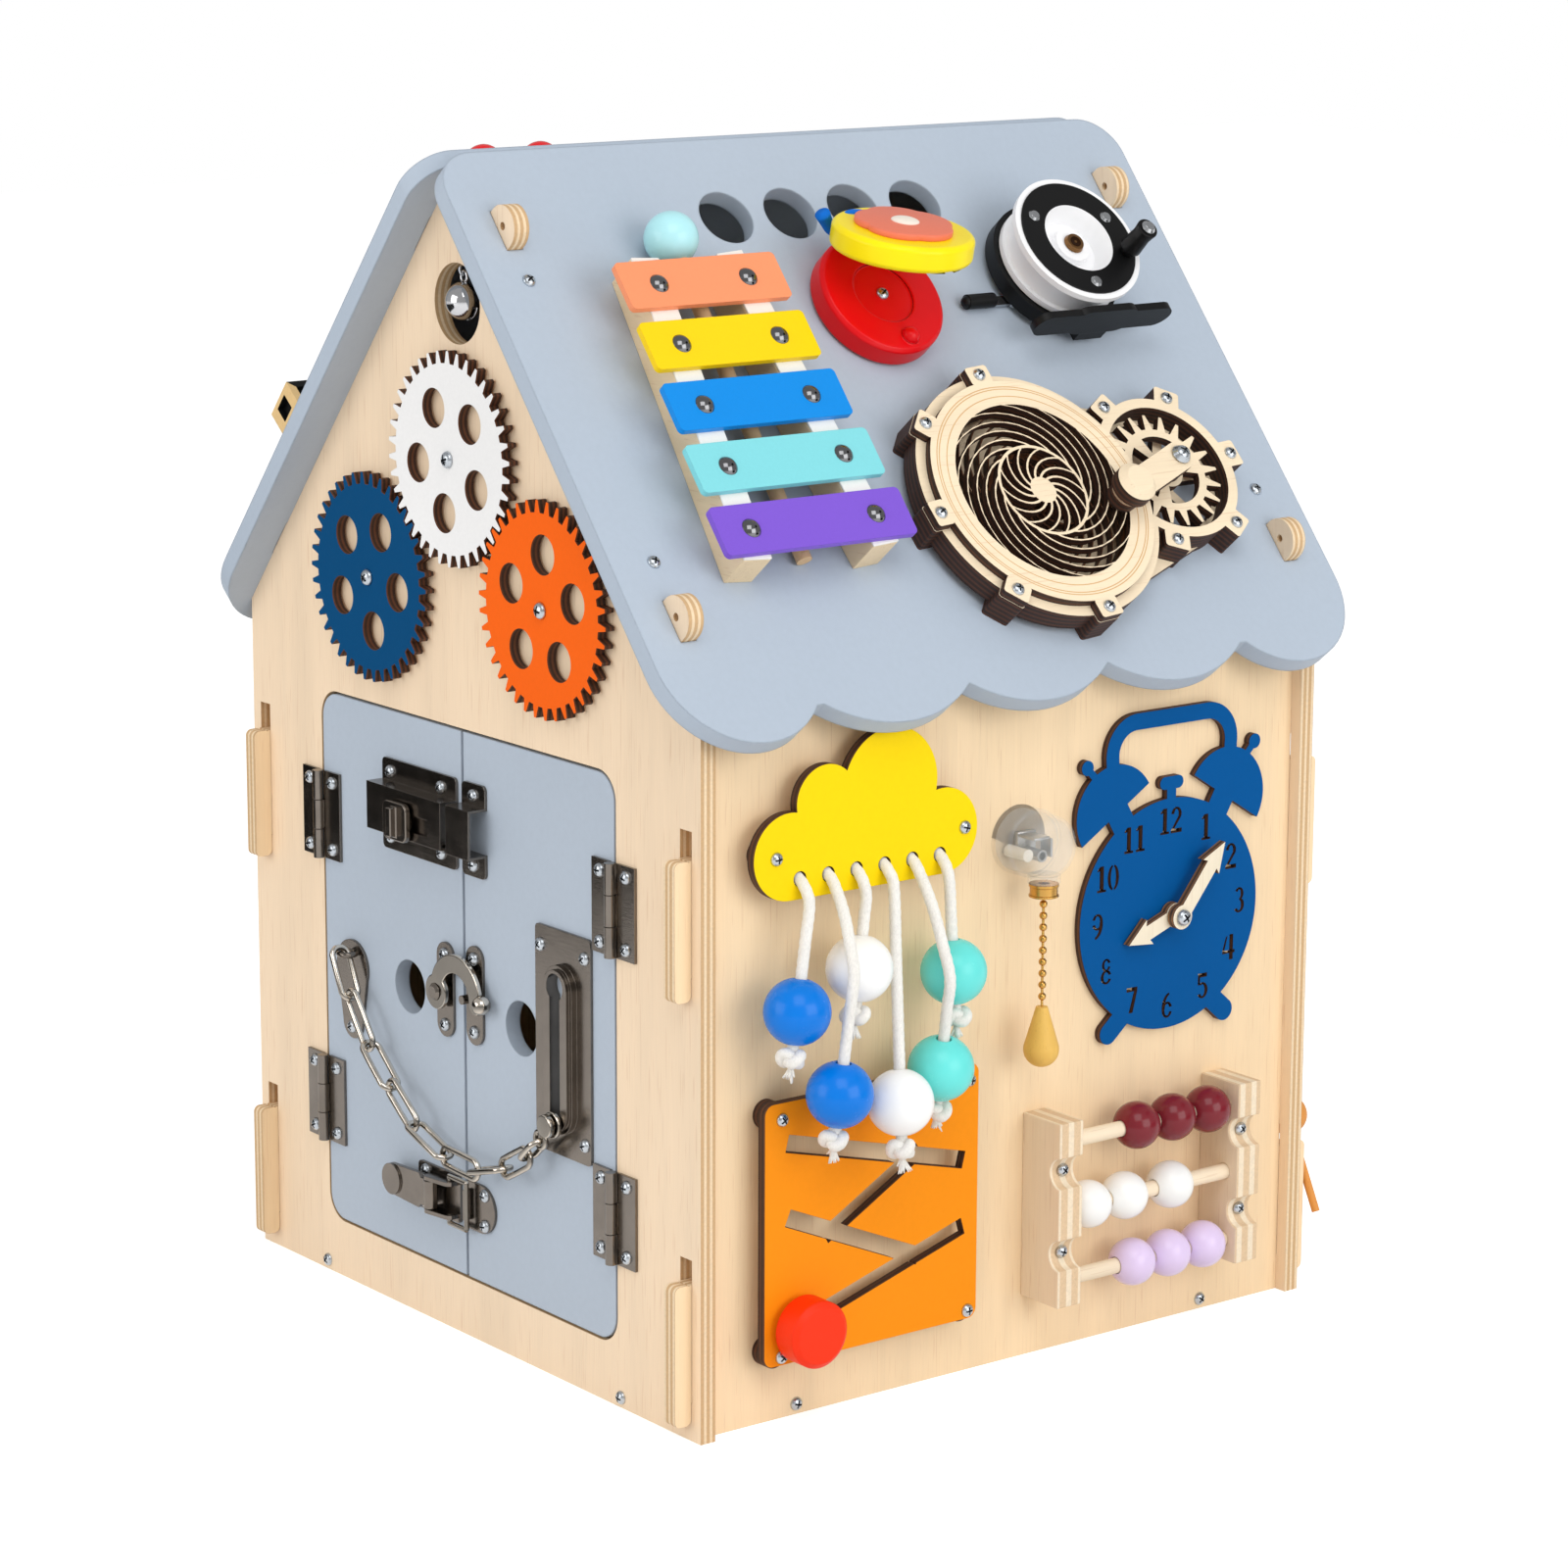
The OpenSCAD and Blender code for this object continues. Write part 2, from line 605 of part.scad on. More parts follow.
module toggle_keeper() {
    linear_extrude(plate_t) difference() {
        union() {
            translate([11, toggle_v]) circle(9.5);
            translate([2, toggle_v - 9.5]) square([9, 19]);
        }
        plate_holes(right_screws);
    }
    translate([2, toggle_v - 6, 0.5]) cube([1.4, 12, 3]);
}
module right_door_fittings() color([0.36, 0.36, 0.38]) on_front() {
    door_leaf_hinge();
    bolt_keeper();
    hook_catch();
    chain_track();
    toggle_keeper();
}
module slide_bolt() color([0.45, 0.45, 0.47]) on_front() {
    translate([bolt[0] - 24, bolt[1] - 8, 0.3]) cube([47.5, 16, 7]);
    translate([bolt[0] - 4.8, bolt[1] - 5, 5]) cube([6, 5.4, 5]);
    translate([bolt[0] - 1.7, bolt[1] - 2.3, 9.2]) linear_extrude(2.4) rrect(16, 15, 3);
    translate([bolt[0] - 3.4, bolt[1] - 8, 11]) cube([3.4, 11.4, 3.4]);
}
module swing_hook() color([0.4, 0.4, 0.42]) on_front() {
    c = hook_p + [13.3, 0];
    translate([0, 0, 3]) linear_extrude(2) difference() {
        union() {
            intersection() {
                translate(c) difference() {
                    circle(17);
                    circle(9.6);
                }
                translate(c + [-30, 0]) square([60, 30]);
            }
            translate(hook_p) circle(6.8);
            translate(c + [13.3, 0]) circle(3.7);
        }
        translate(hook_p) circle(1.6 + run_fit);
    }
    translate([c[0] + 18.2, c[1] + 1.2, 5]) sphere(3.6);
}
module toggle_lever() color([0.42, 0.42, 0.44]) on_front() difference() {
    union() {
        translate([-17, toggle_v, 5.5]) rotate([90, 0, 0]) cylinder(r = 2.7, h = 11, center = true);
        translate([0, toggle_v, 4.8]) linear_extrude(1.8)
            polygon([[-17, -5.4], [-22.6, -5.4], [-24, -7], [-43, -6.2], [-43, 6.2], [-24, 7],
                [-22.6, 5.4], [-17, 5.4]]);
        translate([-42.5, toggle_v, 4.8]) cylinder(r = 6.2, h = 2.6);
    }
    translate([-17, toggle_v, 5.5]) rotate([90, 0, 0]) cylinder(r = 1.2 + run_fit, h = 20, center = true);
}
module toggle_bail() color([0.45, 0.45, 0.47]) on_front() translate([0, toggle_v, 3.8]) {
    for (m = [-1, 1]) {
        translate([-6.5, m*9.3, 0]) rotate([0, 90, 0]) cylinder(r = 1, h = 11.7);
        translate([-6.5, m*9.3, 0]) sphere(1);
        translate([5.2, m*9.3, 0]) sphere(1);
        translate([-6.5, m*9.3, 0]) rotate([m*90, 0, 0]) cylinder(r = 1, h = 3.6);
    }
    translate([5.2, 0, 0]) rotate([90, 0, 0]) cylinder(r = 1, h = 18.6, center = true);
}
// A link is a round wire bent to a long ring, swept as one closed loop
function link_path(h, r) = concat([for (a = [-90:30:90]) [h + r*cos(a), r*sin(a), 0]],
    [for (a = [90:30:270]) [-h + r*cos(a), r*sin(a), 0]]);
module ring_tube(p, r, n) {
    m = len(p);
    points = [for (i = [0:m - 1], k = [0:n - 1]) let (t = unit(p[(i + 1) % m] - p[(i + m - 1) % m]),
        u = cross(t, [0, 0, 1])) p[i] + r*(cos(360/n*k)*u - sin(360/n*k)*[0, 0, 1])];
    faces = concat(
        [for (i = [0:m - 1], k = [0:n - 1]) let (j = (i + 1) % m) [i*n + k, j*n + k, j*n + (k + 1) % n]],
        [for (i = [0:m - 1], k = [0:n - 1]) let (j = (i + 1) % m, l = (k + 1) % n) [i*n + k, j*n + l, i*n + l]]);
    polyhedron(points, faces);
}
module link(p, q, roll) {
    d = q - p;
    translate((p + q)/2) rotate([0, -asin(d[2]/norm(d)), atan2(d[1], d[0])]) rotate([roll, 0, 0])
        ring_tube(link_path(norm(d)/2 + chain_wire + 0.25 - chain_half, chain_half), chain_wire, 8);
}
module door_chain() color([0.3, 0.3, 0.32]) on_front() {
    for (i = [0:len(chain) - 2]) link(chain[i], chain[i + 1], i % 2 == 0 ? 90 : 0);
    e = chain[len(chain) - 1];
    a = atan2(101 - e[1], track[0] - e[0]);
    translate([e[0] + 1.9*cos(a), e[1] + 1.9*sin(a), e[2]]) torus(3.2, 1);
    translate([0, 0, e[2] - 1]) linear_extrude(2)
        pill([e[0] + 6.2*cos(a), e[1] + 6.2*sin(a)], [track[0], 101], 4.6);
    translate([track[0], 101, 5.4]) cylinder(r = 5, h = 1.6);
    translate([track[0], 101, 5.4]) cylinder(r = 2, h = 3);
}

// Gable gears and bell
module gable_gear(c, phase, turn) on_front() translate([c[0], c[1], gear_z0]) rotate(phase)
    linear_extrude(gear_t) difference() {
        r = gear_m*gear_n/2;
        polygon(teeth(gear_n, r - 2.4, r + 2.2, 0.29, 0.11));
        circle(2.2 + run_fit);
        for (i = [0:4]) rotate(i*72 + turn) translate([20.5, 0]) circle(7.4);
    }
module white_gear() color([0.95, 0.94, 0.92]) gable_gear(white_c, blue_dir, 39);
module blue_gear() color([0.4, 0.55, 0.75]) gable_gear(blue_c, blue_dir + 180 + gear_p/2, 16);
module orange_gear() color([0.9, 0.5, 0.25]) gable_gear(orange_c,
    orange_dir + 180 - (blue_dir - orange_dir) + gear_p/2, 58);
module bell() color([0.8, 0.8, 0.82]) on_front() translate([0, eye_z, -ply/2]) {
    loop = eye_r - 2*eye_w - 0.15;
    translate([0, -loop - eye_r, 0]) torus(eye_r, eye_w);
    translate([0, -loop - 2*eye_r - 7, 0]) difference() {
        sphere(7.2);
        sphere(6.3);
        translate([-10, -8, -0.7]) cube([20, 6, 1.4]);
    }
}

// Boards on the right wall
module cloud_board() color([0.93, 0.92, 0.9]) on_right() translate([0, 0, standoff])
    linear_extrude(board_t) difference() {
        union() {
            translate([-111.5, 213]) circle(16);
            translate([-95, 231]) circle(13.5);
            translate([-66, 233]) circle(21.5);
            translate([-41.5, 213]) circle(16);
            translate([-111.5, 197]) square([70, 30]);
        }
        for (p = concat(cloud_screws)) translate(p) shank_2d();
        for (p = rope_holes) translate(p) circle(d = rope_d + 1.2);
    }
module slot(p, q) {
    translate((p + q)/2) rotate(atan2(q[1] - p[1], q[0] - p[0]))
        square([norm(q - p) + slot_w, slot_w], center = true);
}
module maze_board() color([0.93, 0.84, 0.68]) on_right() translate([0, 0, standoff])
    linear_extrude(board_t) difference() {
        translate(maze_c) rrect(99, 98.5, 4);
        slot([-108.9, 106.9], [-33.2, 87.6]);
        slot([-54, 92.8], [-92, 71.4]);
        slot([-108.7, 78.5], [-54, 55]);
        slot(maze_end, maze_rest);
        for (p = maze_screws) translate(p) shank_2d();
    }
module board_standoffs() color([0.35, 0.22, 0.14]) on_right()
    for (p = concat(cloud_screws, maze_screws)) translate([p[0], p[1], 0])
        linear_extrude(standoff) difference() {
            circle(5.5);
            shank_2d();
        }
function unit(v) = v/norm(v);
// A rope strand leaves its hole, bends down and runs straight through its bead
via = [[], [-98.5, 172, 31], [], [], [-54.5, 164, 31], []];
function mouth(i) = [rope_holes[i][0], rope_holes[i][1] - 4.4, board_front + 5];
function strand_top(i) = len(via[i]) > 0 ? via[i] : mouth(i);
function strand_dir(i) = unit(strand_top(i) - beads[i]);
function strand(i) = [for (d = [-23, -18, -14.6, -13.2]) beads[i] + d*strand_dir(i)];
function strand_up(i) = concat([for (k = [0:3]) beads[i] + (strand_top(i) - beads[i])*k/3],
    len(via[i]) > 0 ? [mouth(i)] : []);
function into_hole(i) = [[rope_holes[i][0], rope_holes[i][1] - 0.6, board_front + 2.6],
    [rope_holes[i][0], rope_holes[i][1], standoff]];
function behind(i, j) = [for (k = [1/3, 2/3])
    [rope_holes[i][0]*(1 - k) + rope_holes[j][0]*k, rope_holes[i][1], standoff/2]];
function back(v) = [for (i = [len(v) - 1:-1:0]) v[i]];
function rope_path(i, j) = concat(strand(i), strand_up(i), into_hole(i), behind(i, j),
    back(into_hole(j)), back(strand_up(j)), back(strand(j)));
function knot(k) = rope_r*[1.3, 2, 1.9, 1][k];
function side(u, t) = unit(u - (u*t)*t);
function tangent(p, i) = unit(p[min(i + 1, len(p) - 1)] - p[max(i - 1, 0)]);
function sides(p, i = 0, u = [1, 0, 0.2]) = i == len(p) ? [] :
    let (s = side(u, tangent(p, i))) concat([s], sides(p, i + 1, s));
module tube(p, n) {
    u = sides(p);
    last = len(p) - 1;
    points = [for (i = [0:last], k = [0:n - 1]) let (t = tangent(p, i), v = cross(t, u[i]),
        r = i < 4 ? knot(i) : last - i < 4 ? knot(last - i) : rope_r)
        p[i] + r*(cos(360/n*k)*u[i] + sin(360/n*k)*v)];
    faces = concat([[for (k = [0:n - 1]) k]],
        [for (i = [0:last - 1], k = [0:n - 1]) [i*n + k, (i + 1)*n + k, (i + 1)*n + (k + 1) % n]],
        [for (i = [0:last - 1], k = [0:n - 1]) [i*n + k, (i + 1)*n + (k + 1) % n, i*n + (k + 1) % n]],
        [[for (k = [n - 1:-1:0]) last*n + k]]);
    polyhedron(points, faces);
}
module cloud_ropes() color([0.93, 0.9, 0.83]) on_right() {
    tube(rope_path(0, 1), 10);
    tube(rope_path(2, 3), 10);
    tube(rope_path(5, 4), 10);
}
module rope_bead(i) on_right() translate(beads[i])
    rotate([0, acos(strand_dir(i)[2]), atan2(strand_dir(i)[1], strand_dir(i)[0])]) difference() {
        sphere(d = rope_bead_d);
        cylinder(r = rope_r + 0.6, h = 40, center = true);
    }
module rope_bead_1() color([0.2, 0.5, 0.75]) rope_bead(0);
module rope_bead_2() color([0.2, 0.5, 0.75]) rope_bead(1);
module rope_bead_3() color([0.93, 0.93, 0.9]) rope_bead(2);
module rope_bead_4() color([0.93, 0.93, 0.9]) rope_bead(3);
module rope_bead_5() color([0.45, 0.75, 0.75]) rope_bead(4);
module rope_bead_6() color([0.45, 0.75, 0.75]) rope_bead(5);
module maze_knob() color([0.8, 0.12, 0.12]) on_right() translate([maze_rest[0], maze_rest[1], 0]) {
    translate([0, 0, 3.2]) cylinder(r = 5.6, h = 2.8);
    translate([0, 0, 5]) cylinder(d = slot_w - 0.6, h = 8);
    translate([0, 0, board_front + 0.3]) cylinder(r = 4.6, h = 2);
    translate([0, 0, board_front + 2.2]) {
        cylinder(d1 = knob_d - 2, d2 = knob_d, h = 1);
        translate([0, 0, 1]) cylinder(d = knob_d, h = 9.6);
        translate([0, 0, 10.6]) cylinder(d1 = knob_d, d2 = knob_d - 4, h = 1.6);
    }
}
module pull_switch() color([0.88, 0.9, 0.9]) on_right() {
    translate([switch_c[0], switch_c[1], 0]) {
        cylinder(r = 13, h = 10);
        translate([0, 0, 9]) cylinder(r = 12, h = 10);
        translate([0, 0, 19]) cylinder(r1 = 12, r2 = 9.5, h = 2.6);
    }
    translate([switch_c[0], switch_c[1], chain_off]) rotate([90, 0, 0]) cylinder(r = 6.2, h = 14);
    translate([switch_c[0], switch_c[1] - 14.05, chain_off]) rotate([90, 0, 0]) difference() {
        cylinder(r = 5.4, h = 5);
        translate([0, 0, -1]) cylinder(r = 2.2, h = 10);
    }
}
module pull_chain() color([0.8, 0.8, 0.8]) on_right() translate([switch_c[0], 0, chain_off]) {
    rotate([-90, 0, 0]) {
        for (i = [0:9]) translate([0, 0, 184.5 - 4.4*i]) sphere(d = 3);
        translate([0, 0, 139]) cylinder(r = 0.5, h = 47);
        translate([0, 0, 124.7]) sphere(6.7);
        translate([0, 0, 127]) cylinder(r1 = 6.3, r2 = 2.2, h = 14);
    }
}

// Clock with cut-through numerals
function oval(c, rx, ry, a0, a1, n) = [for (i = [0:n]) let (a = a0 + (a1 - a0)*i/n)
    [c[0] + rx*cos(a), c[1] + ry*sin(a)]];
module stroke(c, rx, ry, tx, ty, a0, a1) {
    polygon(concat(oval(c, rx, ry, a0, a1, 12), oval(c, rx - tx, ry - ty, a1, a0, 12)));
}
module digit(d) {
    if (d == 0) {
        stroke([0, 0], 2.8, 5, 1.5, 0.7, 100, 260);
        stroke([0, 0], 2.8, 5, 1.5, 0.7, -80, 80);
    }
    if (d == 1) {
        translate([-1, -5]) square([2, 10]);
        translate([-2.2, -5]) square([4.4, 0.9]);
        polygon([[-0.9, 5], [-2.2, 3.6], [-2.2, 3], [-0.9, 3.4]]);
    }
    if (d == 2) {
        stroke([0, 2.2], 2.6, 2.8, 1.5, 0.8, -25, 175);
        polygon([[2.35, 1], [1, 1.3], [-2.7, -4], [-2.7, -5], [2.8, -5], [2.8, -3.4], [-1, -3.4]]);
    }
    if (d == 3) {
        stroke([0, 2.4], 2.3, 2.6, 1.4, 0.8, -85, 150);
        stroke([0, -2.1], 2.7, 2.9, 1.6, 0.8, -150, 75);
    }
    if (d == 4) {
        translate([0.4, -5]) square([1.9, 10]);
        polygon([[-0.6, 4.6], [-1.5, 4.2], [-3.2, -1.2], [-3.2, -2.4], [3.2, -2.4], [3.2, -1.2], [-2.2, -1.2]]);
    }
    if (d == 5) {
        translate([-2.3, 3.4]) square([4.6, 1.6]);
        translate([-2.3, 0.4]) square([1, 3.4]);
        stroke([0, -1.8], 2.8, 3.2, 1.6, 0.8, -150, 125);
    }
    if (d == 6) {
        stroke([0, -1.8], 2.7, 3.2, 1.4, 0.8, 20, 340);
        stroke([1.7, -1], 4.4, 6, 1.6, 0.9, 100, 185);
    }
    if (d == 7) {
        translate([-2.7, 3.4]) square([5.4, 1.6]);
        polygon([[1.1, 3.6], [2.7, 3.6], [0.5, -5], [-1.5, -5]]);
    }
    if (d == 8) {
        stroke([0, 2.5], 2.2, 2.5, 1.2, 0.7, 20, 340);
        stroke([0, -2.2], 2.7, 2.8, 1.4, 0.8, 20, 340);
    }
    if (d == 9) rotate(180) digit(6);
}
module numeral(n) {
    if (n < 10) digit(n);
    if (n >= 10) {
        translate([-3.1, 0]) digit(1);
        translate([2.7, 0]) digit(n - 10);
    }
}
module clock_side_2d() {
    difference() {
        translate([28, 42]) rotate(-32) circle(19.4);
        translate([28, 42]) rotate(-32) translate([-30, -40]) square([60, 40]);
    }
    pill([20, 31], [27, 43], 11);
    pill([38, 57], [42.4, 61.6], 3);
    translate([42.4, 61.8]) circle(2.9);
    pill([29.5, 55], [30, 64.5], 6.4);
    stroke([18, 64.5], 15.18, 15.28, 6.36, 6.36, -2, 92);
    pill([18, 76.6], [-0.5, 76.6], 6.4);
    pill([22, -36], [29.6, -42.6], 8.6);
}
module clock_face() color([0.06, 0.25, 0.5]) on_right() translate([clock_c[0], clock_c[1], 0])
    linear_extrude(clock_t) difference() {
        union() {
            circle(clock_r);
            clock_side_2d();
            mirror([1, 0]) clock_side_2d();
            pill([-3.4, 51], [3.4, 51], 5);
            pill([0, 44], [0, 50], 4.6);
        }
        circle(2.4 + 0.1);
        for (n = [1:12]) rotate(-30*n) translate([0, 36.2]) rotate(30*n) numeral(n);
    }
module hand_2d(l, w) difference() {
    union() {
        circle(w/2 + 1.8);
        translate([-w/2, 0]) square([w, l - 9]);
        polygon([[w/2 - 0.1, l - 10.5], [w*0.9, l - 11.5], [0, l], [-w*0.9, l - 11.5], [-w/2 + 0.1, l - 10.5]]);
    }
    circle(2.4 + run_fit);
}
module hour_hand() color([0.95, 0.88, 0.74]) on_right() translate([clock_c[0], clock_c[1], clock_t + 0.4])
    rotate(-hour_a) linear_extrude(3.4) hand_2d(25, 6);
module minute_hand() color([0.95, 0.88, 0.74]) on_right()
    translate([clock_c[0], clock_c[1], clock_t + 4.4]) rotate(-minute_a) linear_extrude(3.4) hand_2d(34, 6);

// Abacus
module abacus_frame() color([0.88, 0.74, 0.53]) on_right() {
    for (y = post_y) translate([y, 0, 0]) difference() {
        translate([-post_w/2, 24, 0]) cube([post_w, 72, post_d]);
        for (z = notch_z) {
            translate([0, z, post_d + 0.5]) rotate([0, 90, 0]) cylinder(r = notch_r, h = 20, center = true);
            translate([0, z, post_d]) shank_hole(post_d + 1);
        }
        for (z = rod_z) translate([(post_y[0] + post_y[1])/2 - y, z, rod_off]) rotate([0, 90, 0])
            cylinder(d = abacus_rod_d + 0.06, h = rod_len + 0.1, center = true);
    }
    for (z = rod_z) translate([(post_y[0] + post_y[1])/2, z, rod_off]) rotate([0, 90, 0])
        cylinder(d = abacus_rod_d, h = rod_len, center = true);
}
module abacus_row(i) on_right() for (y = abacus_y[i]) translate([y, rod_z[i], rod_off])
    rotate([0, 90, 0]) difference() {
        sphere(d = abacus_bead_d);
        cylinder(d = abacus_rod_d + 0.5, h = 30, center = true);
    }
module abacus_row_1() color([0.5, 0.16, 0.2]) abacus_row(0);
module abacus_row_2() color([0.93, 0.93, 0.9]) abacus_row(1);
module abacus_row_3() color([0.6, 0.5, 0.75]) abacus_row(2);

// Xylophone and mallet
module rail_places() { for (m = [0, 1]) at_roof([bar_y, 0]) mirror([m, 0, 0]) children(); }
module xylophone_rails() color([0.9, 0.78, 0.58]) rail_places()
    translate([bar_nail[0] - 1, -69.5, 0]) rotate(4.4) translate([-6, -128, 0]) {
        cube([12, 128, rail_h]);
        translate([0, 0, rail_h + 0.02]) cube([12, 128, strip_t - 0.02]);
    }
module bar_places() { for (i = [0:4]) at_roof([bar_y, bar_s0 + bar_pitch*i]) translate([0, 0, bar_z]) children(); }
module xylophone_bars() color([0.85, 0.6, 0.4]) for (i = [0:4])
    at_roof([bar_y, bar_s0 + bar_pitch*i]) translate([0, 0, bar_z]) linear_extrude(bar_t) difference() {
        rrect(bar_len[i], bar_w, 2);
        for (m = [-1, 1]) translate([m*bar_nail[i], 0]) shank_2d();
    }
module xylophone_nails() color([0.75, 0.75, 0.77]) for (i = [0:4], m = [-1, 1])
    at_roof([bar_y + m*bar_nail[i], bar_s0 + bar_pitch*i]) translate([0, 0, bar_z + bar_t]) {
        translate([0, 0, -bar_t]) cylinder(d = screw_d, h = bar_t + 0.5);
        intersection() {
            translate([0, 0, -2.5]) sphere(4.6);
            cylinder(r = 6, h = 6);
        }
    }
module mallet() color([0.92, 0.8, 0.6]) at_roof([mallet_y, 58.8]) translate([0, 0, 10.5])
    rotate([-87, 0, 0]) mirror([0, 0, 1]) {
        sphere(d = 20.4);
        translate([0, 0, 5]) cylinder(d = 6, h = 130);
    }

// Castanet
module castanet_base() color([0.8, 0.1, 0.14]) at_roof(cast_c) difference() {
    union() {
        for (y = [-6, 6]) translate([y, 0, 0]) rotate([90, 0, 90]) linear_extrude(2.4, center = true)
            pill([cast_c[1] - lid_s, cast_h + 0.2], [cast_r - 2.5, cast_h - 2], 2.4);
        cylinder(r1 = cast_r - 1.5, r2 = cast_r, h = 1.5);
        translate([0, 0, 1.5]) cylinder(r = cast_r, h = cast_h - 3);
        translate([0, 0, cast_h - 1.5]) cylinder(r1 = cast_r, r2 = cast_r - 1.5, h = 1.5);
        translate([nub[0], nub[1], cast_h + 0.3]) sphere(3.6);
    }
    translate([0, 0, dish_z]) cylinder(r1 = 12.6, r2 = 14, h = 3);
    translate([0, 0, dish_z]) shank_hole(12);
}
module castanet_lid() color([0.93, 0.75, 0.15]) at_roof([cast_c[0], lid_s])
    translate([0, 0, cast_h + 0.2]) rotate([-cast_open, 0, 0]) translate([0, -cast_r - 1.4, 0]) difference() {
        union() {
            cylinder(r1 = cast_r - 1, r2 = cast_r + 0.5, h = 1.5);
            translate([0, 0, 1.5]) cylinder(r = cast_r + 0.5, h = lid_h - 3);
            translate([0, 0, lid_h - 1.5]) cylinder(r1 = cast_r + 0.5, r2 = cast_r - 1, h = 1.5);
        }
        translate([0, 0, -1]) cylinder(r1 = 18.5, r2 = 13, h = 6);
        translate([nub[0], nub[1], 0]) sphere(5.4);
    }

// Reel
module reel_frame() color([0.1, 0.1, 0.1]) at_roof(reel_c) {
    cylinder(r = 12, h = 4);
    translate([0, 0, reel_z]) cylinder(r = reel_r - 0.2, h = 6.6);
    cylinder(r = 3, h = 23.5);
    translate([0, 0, 23.2]) cylinder(r1 = 4.2, r2 = 3.6, h = 1.6);
    translate([3, -reel_r - 2.2, 16]) rotate([90, 0, 0]) linear_extrude(3, center = true) {
        pill([-28, 0], [28, 0], 12);
        pill([-9, 0], [9, 0], 15);
    }
    translate([-4, -reel_r - 3.6, reel_z + 1]) cube([14, 14, 4]);
    translate([-4, -reel_r - 3.6, reel_z + 1]) cube([14, 2.8, 9]);
    translate([lever_c[0], lever_c[1], 0]) cylinder(r = 1.6, h = reel_z + 0.5);
}
module reel_lever() color([0.55, 0.55, 0.57]) at_roof(reel_c) translate([lever_c[0], lever_c[1], 0]) difference() {
    union() {
        translate([0, 0, 0.5]) cylinder(r = 3.6, h = 2.1);
        translate([-15, -2, 0.7]) cube([15, 4, 1.7]);
        translate([-12, 0, 3.2]) rotate([0, -90, 0]) cylinder(r = 2.9, h = 13);
        translate([-24.6, 0, 3.2]) sphere(2.5);
    }
    cylinder(r = 1.6 + run_fit, h = 12);
}
module reel_spool() color([0.93, 0.93, 0.92]) at_roof(reel_c) {
    difference() {
        union() {
            translate([0, 0, reel_z + 7]) cylinder(r = reel_r - 2.4, h = 2.4);
            translate([0, 0, reel_z + 9]) cylinder(r = reel_r - 4.4, h = 12);
            translate([0, 0, reel_z + 17]) cylinder(r1 = reel_r - 4.4, r2 = reel_r, h = 4);
            translate([0, 0, reel_z + 20.9]) cylinder(r = reel_r, h = 2.6);
            translate([0, 0, reel_z + 23]) cylinder(r = reel_r - 2.4, h = 1.2);
        }
        translate([0, 0, 19]) cylinder(r1 = 12, r2 = 15.5, h = 9);
        cylinder(r = 3 + run_fit, h = 40);
    }
    translate([0, 0, 18]) difference() {
        cylinder(r = 7.5, h = 4.8);
        cylinder(r = 3 + run_fit, h = 10);
    }
    rotate(handle_a) translate([handle_r, 0, 26]) cylinder(r = 1.6, h = 18);
    rotate(handle_a) translate([handle_r, 0, 43.6]) cylinder(r1 = 3, r2 = 2, h = 1.2);
    for (a = [25, 145, 265]) rotate(a) translate([20, 0, reel_z + 24]) cylinder(r1 = 2.6, r2 = 1.8, h = 1);
}
module reel_handle() color([0.08, 0.08, 0.08]) at_roof(reel_c) rotate(handle_a) translate([handle_r, 0, 27.6])
    difference() {
        union() {
            cylinder(r1 = 2.8, r2 = 4.4, h = 3);
            translate([0, 0, 3]) cylinder(r1 = 4.4, r2 = 3.8, h = 8);
            translate([0, 0, 11]) cylinder(r1 = 3.8, r2 = 4.4, h = 4.6);
        }
        cylinder(r = 1.6 + run_fit, h = 30);
    }

// Spiral gearbox
module tab_2d(p, r) {
    rotate(atan2(p[1], p[0])) translate([norm(p), 0]) rrect(2*r, 2*r + 3, 1.2);
}
module box_tabs() {
    for (p = box_screws) tab_2d(p, 4);
    for (p = ring_screws) translate(drive_c) tab_2d(p - drive_c, 4);
}
module box_holes() { for (p = concat(box_screws, ring_screws)) translate(p) shank_2d(); }
module gearbox_case() color([0.82, 0.66, 0.46]) at_roof(box_c) {
    linear_extrude(box_base) difference() {
        union() {
            circle(box_r - 1);
            translate(drive_c) circle(ring_r);
            polygon([[0, 0], 48*[cos(-66), sin(-66)], drive_c + 30.5*[cos(-66), sin(-66)], drive_c,
                drive_c + 30.5*[cos(75), sin(75)], 48*[cos(75), sin(75)]]);
            box_tabs();
        }
        translate(drive_c) difference() {
            circle(ring_in - 2);
            for (a = [0:60:120]) rotate(a) square([80, 4], center = true);
            circle(8);
        }
        box_holes();
    }
    translate([0, 0, box_base]) linear_extrude(box_h - box_base) difference() {
        union() {
            circle(box_r + 2.6);
            translate(drive_c) circle(ring_r);
            box_tabs();
        }
        circle(box_in);
        translate(drive_c) circle(ring_in);
        box_holes();
    }
    cylinder(r = 2.5, h = box_h - 0.5);
    translate([drive_c[0], drive_c[1], 0]) cylinder(r = 2.5, h = box_h + 9.2);
    translate([drive_c[0], drive_c[1], box_h + 9]) cylinder(d1 = 8, d2 = 5.6, h = 1.9);
}
